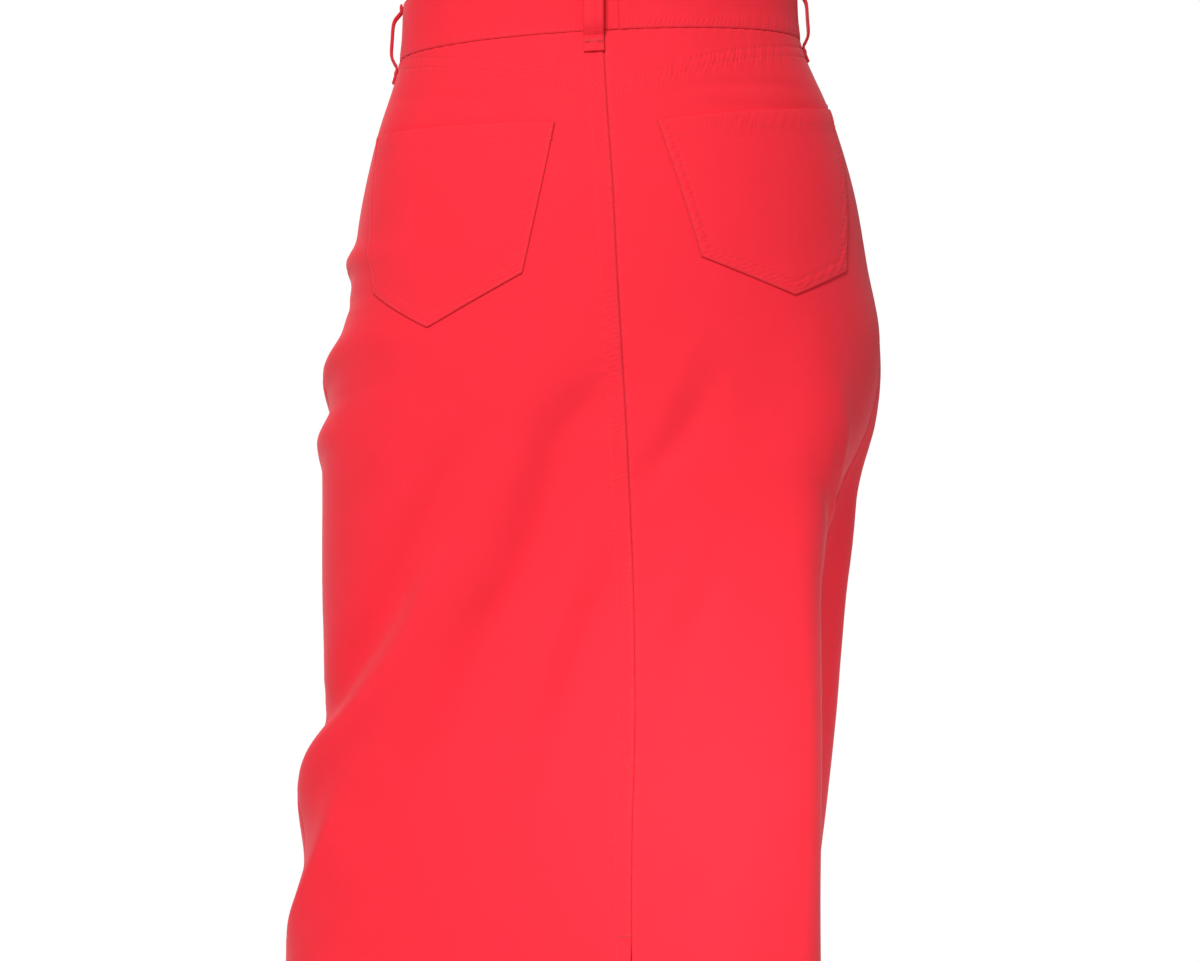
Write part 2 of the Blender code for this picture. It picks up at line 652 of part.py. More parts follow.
def build_pocket(side):
    """A patch pocket cut from the flat panel, moved out from it, with a turned hem on top."""
    shape, hangs, outward = flat_panel(side)
    corners = pocket_outline(side)
    middle = corners.mean(axis=0)
    for start, end in zip(corners, np.roll(corners, -1, axis=0), strict=True):
        run = end - start
        inside = run[0] * (middle - start)[1] - run[1] * (middle - start)[0] > 0
        cut(shape, *((start, end) if inside else (end, start)))
    top = corners[1] - corners[0]
    down = np.array([-top[1], top[0]]) / np.linalg.norm(top)
    down *= np.sign(down[1])
    for width in (POCKET_HEM, POCKET_HEM + 1.0):
        cut(shape, corners[0] + down * width, corners[1] + down * width, keep_both=True)
    bmesh.ops.triangulate(shape, faces=shape.faces[:])
    shape.verts.index_update()
    flat = np.array([vert.co[:2] for vert in shape.verts])
    places = np.array([vert[hangs][:] for vert in shape.verts])
    outs = np.array([vert[outward][:] for vert in shape.verts])
    outs /= np.linalg.norm(outs, axis=1, keepdims=True)
    in_hem = (flat - corners[0]) @ down < POCKET_HEM + 0.5
    rise = LAID_GAP + POCKET_CLOTH + np.where(in_hem, POCKET_HEM_RISE, 0.0)
    triangles = np.array([[vert.index for vert in face.verts] for face in shape.faces])
    rim = rim_of_shape(shape)
    shape.free()
    outer = places + outs * rise[:, None]
    inner = places + outs * LAID_GAP
    twill = material_of("red_twill", RED_TWILL)
    double_wall(f"back_pocket_{side}", outer, inner, triangles, rim, twill)


def rim_of_shape(shape):
    """Points round the edge of a flat shape, in the order of its faces' corners."""
    after = {}
    for edge in shape.edges:
        if edge.is_boundary:
            corner = edge.link_loops[0]
            after[corner.vert.index] = corner.link_loop_next.vert.index
    rim = [next(iter(after))]
    while after[rim[-1]] != rim[0]:
        rim.append(after[rim[-1]])
    return np.array(rim)


# ---------------------------------------------------------------- waistband and belt loops

BAND_COLUMNS = 66


def build_waistband():
    """The band round the waist. Its buttoned end lies over the other at the centre front."""
    drops = np.linspace(-BAND_HEIGHT, -SEAM_GAP / 2, 3)
    first = beside(2, -BAND_UNDER, 0.0)
    last = beside(2, BAND_OVER, 0.0) + 4
    quarters = np.linspace(first, last, BAND_COLUMNS + 1)
    tucked = BAND_WALL + 0.5
    flat_end = beside(2, BAND_OVER + 4, 0.0)
    slope_end = beside(2, BAND_OVER + 4 + BAND_TUCK, 0.0)
    share = np.clip((quarters - flat_end) / (slope_end - flat_end), 0, 1)
    lift = BAND_OUT - tucked * (1 - share * share * (3 - 2 * share))
    cloth_wall(
        "waistband",
        quarters[None, :],
        drops[:, None],
        lift[None, :],
        BAND_WALL,
        material_of("red_twill", RED_TWILL),
    )


def build_belt_loop(loop):
    """A strip sewn down at both ends, standing off the waistband between them."""
    drops, shares = np.array(LOOP_COURSE).T
    seat = LOOP_SEAT + np.where(drops < 0, BAND_OUT, loop.foot_rise)
    course = np.stack([drops, seat + (loop.stand - seat) * shares], axis=1)
    run = np.gradient(course, axis=0)
    run /= np.linalg.norm(run, axis=1, keepdims=True)
    out = np.stack([-run[:, 1], run[:, 0]], axis=1)
    across = loop.across + LOOP_WIDTH * np.array([-0.5, 0.0, 0.5])
    faces = []
    for line in (course + out * LOOP_CLOTH, course):
        quarters = np.array([beside(loop.seam, across, 0.0)] * len(line))
        faces.append(cloth(quarters, line[:, :1], line[:, 1:]))
    wall(loop.name, *faces, material_of("red_twill", RED_TWILL))


# ---------------------------------------------------------------- fly


def fly_strip(name, first, last, length, lift, thickness, material):
    """A strip behind the fly, between two distances from the centre front."""
    drops = row_drops(2.0, length, 20.0)
    across = np.linspace(first, last, 5)
    quarters = np.stack([beside(2, across, drop) for drop in drops])
    cloth_wall(name, quarters, drops[:, None], lift, thickness, material)


def build_zip_slider():
    """The zip's slider, closed at the top of the tape, with its tab hanging flat below it."""
    outline = ((-9, 6), (9, 6), (9, 14), (6, 18), (6, 32), (-6, 32), (-6, 18), (-9, 14))
    middle = -7.0
    mesh = bpy.data.meshes.new("zip_slider")
    shape = bmesh.new()
    places = np.array(outline) * (0.5, 1.0) + (middle, 0.0)
    loops = []
    for lift in (SLIDER_LIFT, SLIDER_LIFT - SLIDER_WALL):
        points = cloth(beside(2, places[:, 0], places[:, 1]), places[:, 1], lift) * MM
        loops.append([shape.verts.new(point) for point in points])
    front, back = loops
    shape.faces.new(front)
    shape.faces.new(back[::-1])
    for i in range(len(front)):
        j = (i + 1) % len(front)
        shape.faces.new((front[j], front[i], back[i], back[j]))
    bmesh.ops.recalc_face_normals(shape, faces=shape.faces)
    shape.to_mesh(mesh)
    shape.free()
    new_piece("zip_slider", mesh, material_of("nickel", NICKEL))


def build_waist_button():
    """A round metal button with a raised rim, on the buttoned end of the waistband."""
    radius = BUTTON_ACROSS / 2
    profile = (
        (0.0, 0.0),
        (radius - 1.6, 0.0),
        (radius - 0.4, 0.7),
        (radius, 1.7),
        (radius - 0.7, BUTTON_RISE - 0.4),
        (radius - 1.8, BUTTON_RISE),
        (radius - 2.8, BUTTON_RISE - 0.7),
        (0.0, BUTTON_RISE - 0.4),
    )
    mesh = bpy.data.meshes.new("waist_button")
    shape = bmesh.new()
    line = [shape.verts.new((across * MM, 0.0, rise * MM)) for across, rise in profile]
    edges = [shape.edges.new(pair) for pair in zip(line[:-1], line[1:], strict=True)]
    bmesh.ops.spin(
        shape,
        geom=line + edges,
        cent=(0, 0, 0),
        axis=(0, 0, 1),
        angle=2 * pi,
        steps=24,
        use_duplicate=False,
    )
    bmesh.ops.remove_doubles(shape, verts=shape.verts, dist=0.00001)
    bmesh.ops.recalc_face_normals(shape, faces=shape.faces)
    shape.to_mesh(mesh)
    shape.free()
    button = new_piece("waist_button", mesh, material_of("nickel", NICKEL))
    seat, above = cloth(2.0, -BAND_HEIGHT / 2, np.array([BAND_OUT + 0.4, BAND_OUT + 10.0]))
    button.location = Vector(seat * MM)
    button.rotation_euler = Vector(above - seat).to_track_quat("Z", "Y").to_euler()


def main():
    for old in list(bpy.data.objects):
        bpy.data.objects.remove(old, do_unlink=True)
    build_waistband()
    for side in ("left", "right"):
        build_panel(f"back_yoke_{side}", yoke_grid(side))
        build_panel(f"back_{side}", back_panel_grid(side))
        build_panel(f"front_{side}", front_panel_grid(side))
        build_pocket(side)
    for loop in BELT_LOOPS:
        build_belt_loop(loop)
    tape = material_of("red_tape", RED_TAPE)
    fly_strip("fly_zip", -20.0, 6.0, FLY_LENGTH, TAPE_LIFT, TAPE_CLOTH, tape)
    twill = material_of("red_twill", RED_TWILL)
    fly_strip("fly_shield", -34.0, 12.0, SHIELD_LENGTH, SHIELD_LIFT, SHIELD_CLOTH, twill)
    build_zip_slider()
    build_waist_button()


main()
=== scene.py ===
"""A long straight skirt of red twill denim, as it hangs when worn.

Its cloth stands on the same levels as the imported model's solids. The large folds are its own, a
little closer and deeper than theirs, and so are the finer creases, the sewing and the metal.

Z points up, the front faces -Y, the back faces +Y, and the skirt's own left side is at +X. Sizes
on the cloth are in millimetres until a mesh is made from them.

A place on the cloth is a pair. The quarter runs round the skirt: 0 at the centre back, 1 at the
left side seam, 2 at the centre front, 3 at the right side seam and 4 at the centre back again.
The drop runs down the cloth from the waist seam. A lift is a height over the cloth there.
"""

from collections import namedtuple
from math import pi, radians

import bpy
import numpy as np
from bpy.props import FloatProperty, FloatVectorProperty, PointerProperty
from mathutils import Matrix, Vector


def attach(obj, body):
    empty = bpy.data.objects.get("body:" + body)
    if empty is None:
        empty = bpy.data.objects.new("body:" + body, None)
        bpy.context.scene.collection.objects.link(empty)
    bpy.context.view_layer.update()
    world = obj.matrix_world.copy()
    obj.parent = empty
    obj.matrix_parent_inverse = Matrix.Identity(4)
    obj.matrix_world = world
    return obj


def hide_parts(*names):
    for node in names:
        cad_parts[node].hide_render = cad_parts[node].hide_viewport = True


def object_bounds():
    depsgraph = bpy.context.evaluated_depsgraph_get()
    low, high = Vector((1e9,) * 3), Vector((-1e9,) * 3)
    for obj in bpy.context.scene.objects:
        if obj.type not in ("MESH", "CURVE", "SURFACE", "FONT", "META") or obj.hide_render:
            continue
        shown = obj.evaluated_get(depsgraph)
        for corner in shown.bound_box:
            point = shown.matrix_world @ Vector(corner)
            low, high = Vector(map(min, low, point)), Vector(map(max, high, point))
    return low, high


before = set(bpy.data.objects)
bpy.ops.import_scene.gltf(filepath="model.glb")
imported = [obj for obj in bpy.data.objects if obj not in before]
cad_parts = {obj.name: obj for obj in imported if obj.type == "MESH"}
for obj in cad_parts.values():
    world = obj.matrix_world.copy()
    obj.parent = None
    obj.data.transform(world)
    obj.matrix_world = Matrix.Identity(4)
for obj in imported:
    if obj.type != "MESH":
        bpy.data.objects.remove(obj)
cad_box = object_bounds()

bl_info = {
    "name": "Red denim skirt",
    "version": (1, 0, 0),
    "blender": (4, 5, 0),
    "location": "View3D > Sidebar > Skirt",
    "description": "Dresses a long red denim skirt in cloth, stitching and metal",
    "category": "Object",
}

MM = 0.001
BODY = "root"

# ---------------------------------------------------------------- sizes of the cut

CLOTH = 1.4  # wall of one layer of denim with its turnings
SEAM_GAP = 0.06  # between two pieces that are sewn together
LAPPED_GAP = 0.04  # where one piece is sewn flat over the next one
LAID_GAP = 0.3  # under a piece that lies on another
POCKET_CLOTH = 1.1
POCKET_HEM = 14.0  # turned top edge of a pocket
POCKET_HEM_RISE = 0.5
FELL_WIDTH = 12.0  # folded double seam down the centre back
FELL_RISE = 0.6
BAND_HEIGHT = 38.0
BAND_OUT = 0.6  # outer face of the waistband, past the cloth below
BAND_WALL = 2.4
BAND_OVER = 22.0  # buttoned end, past the centre front
BAND_UNDER = 18.0  # end that lies under it
BAND_TUCK = 40.0  # length in which the under end slopes inwards
HEM_DROP = 922.0
HEM_FOLD = 22.0
HEM_RISE = 0.6
SLIT_DROP = 575.0
SLIT_PART = 24.0  # from the seam line to each edge of the slit at the hem
LOOP_WIDTH = 13.0
LOOP_CLOTH = 1.5
LOOP_SEAT = 0.4  # inner face of a loop's ends, past what they are sewn to
LOOP_FOOT = 14.0  # drop of its lower end
FLY_LENGTH = 150.0
SHIELD_LENGTH = 160.0
TAPE_LIFT = -3.7
TAPE_CLOTH = 0.8
SHIELD_LIFT = -4.9
SHIELD_CLOTH = 1.2
SIDES = ("left", "right")

# One level of the cloth: half widths and half depths from the middle of the waist, how square
# the ring is (2 is an ellipse) and its back right corner, where the centre back seam lies, and
# how far the level leans
Level = namedtuple("Level", "drop left right front back square corner seam_x lean_x lean_y")
LEVELS = (
    Level(-42, 129, 129, 92, 93, 2.10, 2.10, -2.0, -0.053, 0.056),
    Level(0, 132, 132, 96, 98, 2.10, 2.10, -2.0, -0.053, 0.056),
    Level(50, 147, 152, 104, 114, 2.12, 2.12, -4.5, -0.052, 0.050),
    Level(100, 158, 167, 110, 130, 2.15, 2.15, -8.0, -0.050, 0.040),
    Level(150, 164, 176, 114, 140, 2.18, 2.18, -10.5, -0.048, 0.030),
    Level(200, 174, 184, 117, 143, 2.20, 2.25, -13.5, -0.045, 0.020),
    Level(250, 182, 176, 118, 140, 2.22, 2.45, -16.5, -0.040, 0.012),
    Level(300, 183, 153, 119, 134, 2.25, 2.80, -19.0, -0.034, 0.006),
    Level(350, 183, 142, 120, 127, 2.28, 3.20, -21.0, -0.028, 0.0),
    Level(400, 182, 140, 120, 121, 2.30, 3.50, -22.0, -0.022, 0.0),
    Level(450, 184, 140, 121, 116, 2.32, 3.70, -22.0, -0.016, 0.0),
    Level(500, 190, 140, 121, 113, 2.34, 3.80, -20.5, -0.010, 0.0),
    Level(550, 197, 140, 122, 111, 2.36, 3.80, -20.0, -0.005, 0.0),
    Level(600, 205, 141, 122, 110, 2.38, 3.80, -20.0, 0.0, 0.0),
    Level(760, 218, 146, 124, 112, 2.40, 3.60, -19.0, 0.0, 0.0),
    Level(930, 226, 152, 128, 116, 2.40, 3.40, -18.0, 0.0, 0.0),
)

# Folds. Each has its places in a row: quarter, drop, height of the ridge, or depth of the trough
# where it is negative, and half its width. Its line and its form run smoothly through them
LARGE_FOLDS = {
    "seat to left hem": (
        (0.31, 278, 1.0, 12), (0.465, 344, 3.5, 12), (0.555, 383, 5.5, 13), (0.645, 411, 7.0, 14),
        (0.78, 442, 9.5, 16), (0.92, 468, 12.0, 19), (1.12, 508, 10.0, 24), (1.32, 560, 2.0, 28),
    ),
    "above the left ridge": (
        (0.355, 252, -2.0, 14), (0.43, 281, -5.0, 15), (0.53, 323, -8.0, 16),
        (0.625, 362, -10.0, 16), (0.715, 391, -10.0, 16), (0.83, 420, -8.0, 16),
        (1, 440, -2.5, 17),
    ),
    "seat trough": (
        (0.02, 222, -1.5, 13), (0.135, 254, -6.0, 15), (0.19, 301, -8.5, 16),
        (0.255, 343, -9.0, 17), (0.345, 380, -9.0, 17), (0.435, 435, -7.0, 18),
        (0.53, 480, -3.5, 19), (0.58, 540, -0.8, 20),
    ),
    "seat ridge": (
        (0.13, 203, 1.0, 14), (0.245, 240, 2.5, 16), (0.3, 287, 3.5, 17), (0.365, 329, 4.0, 17),
        (0.455, 366, 4.0, 17), (0.545, 421, 3.0, 18), (0.64, 460, 1.2, 18),
    ),
    "centre trough": (
        (0.03, 334, -1.5, 11), (0.095, 370, -4.8, 12), (0.145, 410, -5.2, 13),
        (0.185, 452, -3.0, 14), (0.21, 495, -0.8, 15),
    ),
    "centre ridge": (
        (0.105, 318, 0.5, 11), (0.165, 358, 1.8, 12), (0.215, 400, 2.2, 13), (0.255, 440, 1.4, 14),
        (0.28, 480, 0.4, 15),
    ),
    "lower left ridge": (
        (0.74, 470, 1.5, 14), (0.82, 528, 5.0, 15), (0.92, 566, 5.0, 16), (1.10, 610, 3.0, 20),
        (1.22, 700, 1.5, 26),
    ),
    "upper left hip": (
        (0.58, 134, 0.8, 9), (0.82, 131, 3.5, 9), (1.05, 134, 6.0, 9), (1.30, 146, 1.5, 12),
    ),
    "left hip": (
        (0.50, 190, 1.0, 12), (0.75, 188, 4.0, 13), (1.00, 205, 8.0, 13), (1.30, 244, 3.0, 18),
        (1.60, 290, 1.0, 20),
    ),
    "below the left hip": (
        (0.76, 246, 1.0, 11), (0.98, 251, 4.5, 11), (1.25, 280, 1.5, 16),
    ),
    "right flute": (
        (2.92, 195, 1.0, 26), (2.85, 262, 14.0, 30), (2.82, 330, 29.0, 32), (2.82, 410, 25.0, 32),
        (2.84, 490, 15.0, 34), (2.86, 570, 3.0, 36),
    ),
    "right hip edge": (
        (3.40, 235, 0.8, 9), (3.27, 304, 3.0, 9), (3.08, 380, 4.0, 9), (3.04, 470, 4.0, 9),
        (3.04, 580, 1.5, 12),
    ),
    "right seat trough": (
        (3.77, 226, -1.0, 10), (3.835, 256, -3.2, 11), (3.915, 276, -2.8, 10),
        (3.98, 292, -0.8, 10),
    ),
    "right seat ridge": (
        (3.8, 196, 0.4, 9), (3.855, 216, 1.2, 10), (3.91, 242, 1.5, 10), (3.975, 262, 0.6, 9),
    ),
    "right thigh trough": (
        (3.74, 330, -0.7, 13), (3.775, 358, -2.0, 14), (3.83, 384, -1.8, 14),
        (3.88, 420, -0.5, 14),
    ),
    "right thigh ridge": (
        (3.79, 318, 0.2, 12), (3.835, 346, 0.7, 13), (3.89, 368, 0.7, 12), (3.94, 396, 0.2, 12),
    ),
    "right back ridge": (
        (3.56, 150, 0.5, 24), (3.48, 205, 3.5, 28), (3.44, 262, 8.0, 34), (3.41, 330, 10.0, 36),
        (3.38, 430, 9.5, 38), (3.37, 560, 8.0, 38), (3.37, 720, 5.0, 38), (3.37, 915, 2.0, 38),
    ),
    "right hem": (
        (3.62, 516, 1.0, 20), (3.68, 700, 3.0, 28), (3.66, 915, 6.0, 30),
    ),
    "left hem": (
        (0.36, 560, 0.8, 24), (0.34, 740, 3.5, 30), (0.32, 915, 6.5, 32),
    ),
    "left side hem": (
        (1.16, 660, 1.0, 26), (1.20, 790, 4.5, 30), (1.22, 915, 7.0, 32),
    ),
    "front left flute": (
        (1.50, 400, 1.0, 28), (1.56, 640, 5.0, 32), (1.60, 915, 9.0, 36),
    ),
    "front right flute": (
        (2.42, 420, 1.0, 28), (2.40, 640, 4.0, 32), (2.36, 915, 8.0, 36),
    ),
    "front trough": (
        (2.00, 500, -1.0, 30), (1.98, 720, -3.0, 34), (1.98, 915, -4.0, 36),
    ),
    "right side hem": (
        (2.82, 700, 1.0, 28), (2.84, 820, 4.0, 30), (2.86, 915, 6.0, 32),
    ),
    "front right drag": (
        (2.72, 170, 1.0, 14), (2.45, 215, 2.8, 15), (2.14, 290, 0.8, 18),
    ),
}

# Finer creases in the same form, laid over the large folds
CREASES = {
    "under the left hip": (
        (0.55, 214, -0.3, 8), (0.78, 222, -1.2, 7), (0.98, 230, -1.6, 7), (1.16, 238, -0.5, 9),
    ),
    "over the left hip": (
        (0.56, 160, -0.2, 7), (0.78, 158, -0.8, 6), (1.00, 165, -1.2, 6), (1.18, 180, -0.4, 8),
    ),
    "right leg shade": (
        (-0.377, 516, -0.2, 10), (-0.200, 548, -0.8, 11), (-0.030, 573, -0.2, 10),
    ),
    "pressed edge": (
        (-0.583, 255, 0.1, 3), (-0.632, 288, 0.5, 3), (-0.912, 339, 0.9, 2.6),
        (-0.962, 391, 1.2, 2.4), (-0.930, 455, 1.2, 2.4), (-0.935, 529, 1.1, 2.6),
        (-0.935, 600, 0.8, 3), (-0.930, 700, 0.1, 4),
    ),
    "beside the pressed edge": (
        (-0.525, 255, -0.2, 7), (-0.572, 288, -0.9, 7), (-0.852, 339, -1.6, 7),
        (-0.902, 391, -2.0, 6.5), (-0.870, 455, -1.8, 6.5), (-0.875, 529, -1.4, 7),
        (-0.875, 600, -0.9, 8), (-0.870, 700, -0.1, 8),
    ),
    "lower left crest": (
        (0.755, 479, 0.1, 5), (0.812, 526, 0.8, 5), (0.890, 558, 0.8, 5), (1.045, 587, 0.2, 6),
    ),
    "left yoke drag": (
        (0.28, 44, -0.1, 5), (0.4, 39, -0.9, 4.5), (0.555, 34, -1.1, 4.5), (0.725, 30, -0.8, 5),
        (0.9, 28, -0.1, 6),
    ),
    "right yoke drag": (
        (-0.105, 46, -0.1, 4), (-0.29, 51, -0.7, 4), (-0.49, 52, -0.9, 4), (-0.66, 52, -0.6, 4),
        (-0.85, 50, -0.1, 5),
    ),
    "upper right yoke drag": (
        (-0.2, 43, -0.1, 3.5), (-0.267, 40, -0.6, 3.5), (-0.407, 38, -1.0, 4),
        (-0.595, 37, -0.8, 4), (-0.8, 37, -0.1, 5),
    ),
    "left lap crease": (
        (1.15, 95, -0.2, 8), (1.40, 112, -1.1, 9), (1.68, 140, -0.8, 9), (1.86, 172, -0.1, 9),
    ),
    "right lap crease": (
        (2.90, 88, -0.2, 8), (2.64, 104, -0.9, 9), (2.34, 128, -1.1, 9), (2.16, 160, -0.1, 9),
    ),
    "left front drag": (
        (1.30, 330, 0.2, 10), (1.52, 372, 1.3, 10), (1.74, 430, 0.9, 11), (1.90, 500, 0.1, 12),
    ),
    "right front drag": (
        (2.62, 300, 0.2, 10), (2.45, 350, 1.2, 10), (2.26, 420, 0.9, 11), (2.12, 500, 0.1, 12),
    ),
}

# Depth of the yoke at a share of the way from the centre back to the side seam
YokeDepth = namedtuple("YokeDepth", "share left right")
YOKE_DEPTHS = (
    YokeDepth(0.0, 47, 47),
    YokeDepth(0.07, 40, 42),
    YokeDepth(0.18, 33, 36),
    YokeDepth(0.35, 25, 27),
    YokeDepth(0.6, 16, 20),
    YokeDepth(1.0, 8, 14),
)

# Corners of a back pocket: distance from the centre back seam, and drop
PocketCorner = namedtuple("PocketCorner", "name left_across left_drop right_across right_drop")
POCKET_CORNERS = (
    PocketCorner("top inner", 34, 59, 31, 61),
    PocketCorner("top outer", 188, 52, 186, 49),
    PocketCorner("lower outer", 180, 157, 170, 157),
    PocketCorner("point", 127, 183, 117, 173),
    PocketCorner("lower inner", 60, 153, 54, 148),
)

# Course of a belt loop down the waistband: how far it stands off, as a share of its full stand
LoopPoint = namedtuple("LoopPoint", "drop share")
LOOP_COURSE = (
    LoopPoint(-37.5, 0.0),
    LoopPoint(-33.0, 0.0),
    LoopPoint(-30.0, 0.40),
    LoopPoint(-27.0, 0.82),
    LoopPoint(-23.0, 1.0),
    LoopPoint(-15.0, 1.03),
    LoopPoint(-7.0, 1.0),
    LoopPoint(-2.5, 0.80),
    LoopPoint(1.0, 0.42),
    LoopPoint(4.5, 0.0),
    LoopPoint(LOOP_FOOT, 0.0),
)

# Belt loops: distance from a seam, inner face past the cloth where it stands off, and how far
# the cloth under the lower end stands proud
BeltLoop = namedtuple("BeltLoop", "name seam across stand foot_rise")
BELT_LOOPS = (
    BeltLoop("belt_loop_back", 0, 6.0, 6.8, FELL_RISE),
    BeltLoop("belt_loop_left", 1, 0.0, 6.1, 0.0),
    BeltLoop("belt_loop_front_left", 2, -72.0, 6.1, 0.0),
    BeltLoop("belt_loop_front_right", 2, 72.0, 6.1, 0.0),
    BeltLoop("belt_loop_right", 3, 0.0, 6.1, 0.0),
)

# ---------------------------------------------------------------- cloth surface

LATTICE_STEP = 4.0  # between two rows of the lattice
LATTICE_TOP = -42.0
QUARTER_COLUMNS = 80
QUARTER_NOMINAL = 250.0  # length of a quarter where folds are drawn
RING_STEPS = 240
FOLD_STEPS = 6  # between two places of a fold
FOLD_REACH = 3.2  # widths past which a fold is flat


def smooth_through(places, values, at):
    """Read a smooth curve through the rows of a table."""
    places = np.asarray(places, float)
    values = np.asarray(values, float)
    slopes = np.gradient(values, places)
    row = np.clip(np.searchsorted(places, at) - 1, 0, len(places) - 2)
    span = places[row + 1] - places[row]
    t = np.clip((at - places[row]) / span, 0.0, 1.0)
    return (
        values[row] * (1 + 2 * t) * (1 - t) ** 2
        + values[row + 1] * t * t * (3 - 2 * t)
        + slopes[row] * span * t * (1 - t) ** 2
        + slopes[row + 1] * span * t * t * (t - 1)
    )


def level_at(drop):
    """The level at a drop, read between the rows of LEVELS."""
    drops = [level.drop for level in LEVELS]
    columns = (smooth_through(drops, column, drop) for column in zip(*LEVELS, strict=True))
    return Level(*(float(value) for value in columns))


def ring_points(level, turn):
    """Points of a level's ring. The turn is 0 at the back and pi / 2 at the left side."""
    sine = np.sin(turn)
    cosine = np.cos(turn)
    power = 2 / np.where((sine < 0) & (cosine > 0), level.corner, level.square)
    x = np.sign(sine) * np.abs(sine) ** power * np.where(sine > 0, level.left, level.right)
    y = np.sign(cosine) * np.abs(cosine) ** power * np.where(cosine > 0, level.back, level.front)
    z = -level.drop + level.lean_x * x + level.lean_y * y
    return np.stack([x, y, z], axis=-1)


def seam_turns(level):
    """Turns of the centre back, left side, centre front, right side and centre back again."""
    back = -np.arcsin((-level.seam_x / level.right) ** (level.corner / 2))
    return (back, pi / 2, pi, 3 * pi / 2, back + 2 * pi)


def even_quarter(level, first, last):
    """One quarter of a ring in even steps along its length, and that length."""
    points = ring_points(level, np.linspace(first, last, RING_STEPS))
    along = np.concatenate([[0], np.cumsum(np.linalg.norm(np.diff(points, axis=0), axis=1))])
    wanted = np.linspace(0, along[-1], QUARTER_COLUMNS, endpoint=False)
    even = np.stack([np.interp(wanted, along, points[:, axis]) for axis in range(3)], axis=-1)
    return even, along[-1]


def fold_lines(folds):
    """Each fold as short steps: length round the skirt, drop, height and width."""
    lines = []
    for fold in folds.values():
        places = np.array(fold, float)
        places[:, 0] *= QUARTER_NOMINAL
        count = len(places)
        at = np.linspace(0, count - 1, (count - 1) * FOLD_STEPS + 1)
        columns = [smooth_through(range(count), column, at) for column in places.T]
        lines.append(np.stack(columns, axis=1))
    return lines


def fold_heights(lines, quarters, drops):
    """Height of all the folds of a table together, over places on the cloth."""
    whole_turn = 4 * QUARTER_NOMINAL
    quarters, drops = np.broadcast_arrays(quarters, drops)
    height = np.zeros(quarters.shape)
    for line in lines:
        reach = FOLD_REACH * line[:, 3].max()
        middle = (line[:, 0].min() + line[:, 0].max()) / 2
        across = quarters * QUARTER_NOMINAL - middle
        across = (across + whole_turn / 2) % whole_turn - whole_turn / 2 + middle
        near = (across > line[:, 0].min() - reach) & (across < line[:, 0].max() + reach)
        near &= (drops > line[:, 1].min() - reach) & (drops < line[:, 1].max() + reach)
        spots = across[near], drops[near]
        nearest = np.full(len(spots[0]), np.inf)
        own = np.zeros(len(spots[0]))
        for start, end in zip(line[:-1], line[1:], strict=True):
            run = end - start
            off = spots[0] - start[0], spots[1] - start[1]
            t = np.clip((off[0] * run[0] + off[1] * run[1]) / (run[:2] @ run[:2]), 0, 1)
            away = np.hypot(off[0] - t * run[0], off[1] - t * run[1])
            rise = (start[2] + t * run[2]) * np.exp(-((away / (start[3] + t * run[3])) ** 2))
            own = np.where(away < nearest, rise, own)
            nearest = np.minimum(nearest, away)
        height[near] += own
    return height


def cloth_lattice():
    """Points of the folded cloth on a lattice of quarters and drops, and the quarters' lengths."""
    drops = np.arange(LATTICE_TOP, HEM_DROP + 2 * LATTICE_STEP, LATTICE_STEP)
    rows = []
    lengths = []
    for drop in drops:
        level = level_at(drop)
        turns = seam_turns(level)
        parts = [even_quarter(level, turns[k], turns[k + 1]) for k in range(4)]
        rows.append(np.concatenate([part[0] for part in parts]))
        lengths.append([part[1] for part in parts])
    points = np.array(rows)
    along = np.roll(points, -1, axis=1) - np.roll(points, 1, axis=1)
    outward = np.stack([-along[..., 1], along[..., 0]], axis=-1)
    outward /= np.linalg.norm(outward, axis=-1, keepdims=True)
    quarters = np.arange(4 * QUARTER_COLUMNS) / QUARTER_COLUMNS
    heights = fold_heights(fold_lines(LARGE_FOLDS), *np.meshgrid(quarters, drops))
    points[..., :2] += outward * heights[..., None]
    return points, drops, np.array(lengths)


LATTICE, LATTICE_DROPS, QUARTER_LENGTHS = cloth_lattice()
CREASE_LINES = fold_lines(CREASES)


def cubic_weights(t):
    """Weights of four neighbours in a row, and of their slope, at a share t past the second."""
    point = (
        ((2 - t) * t - 1) * t / 2,
        (t * t * (3 * t - 5) + 2) / 2,
        ((4 - 3 * t) * t + 1) * t / 2,
        (t - 1) * t * t / 2,
    )
    slope = (
        (-3 * t * t + 4 * t - 1) / 2,
        (9 * t * t - 10 * t) / 2,
        (-9 * t * t + 8 * t + 1) / 2,
        (3 * t * t - 2 * t) / 2,
    )
    return point, slope


def cloth(quarters, drops, lift=0.0):
    """Points of the cloth at places on it, moved out along its own direction by lift."""
    quarters, drops, lift = np.broadcast_arrays(quarters, drops, lift)
    column = (quarters % 4) * QUARTER_COLUMNS
    row = np.clip((drops - LATTICE_TOP) / LATTICE_STEP, 1, len(LATTICE_DROPS) - 2.001)
    first_column = np.floor(column).astype(int)
    first_row = np.floor(row).astype(int)
    across, across_slope = cubic_weights(column - first_column)
    down, down_slope = cubic_weights(row - first_row)
    place = np.zeros((*quarters.shape, 3))
    along = np.zeros_like(place)
    fall = np.zeros_like(place)
    for i in range(4):
        for j in range(4):
            rows = first_row + j - 1
            columns = (first_column + i - 1) % (4 * QUARTER_COLUMNS)
            near = LATTICE[rows, columns]
            place += near * (across[i] * down[j])[..., None]
            along += near * (across_slope[i] * down[j])[..., None]
            fall += near * (across[i] * down_slope[j])[..., None]
    outward = np.cross(along, fall)
    outward /= np.linalg.norm(outward, axis=-1, keepdims=True)
    return place + outward * lift[..., None]


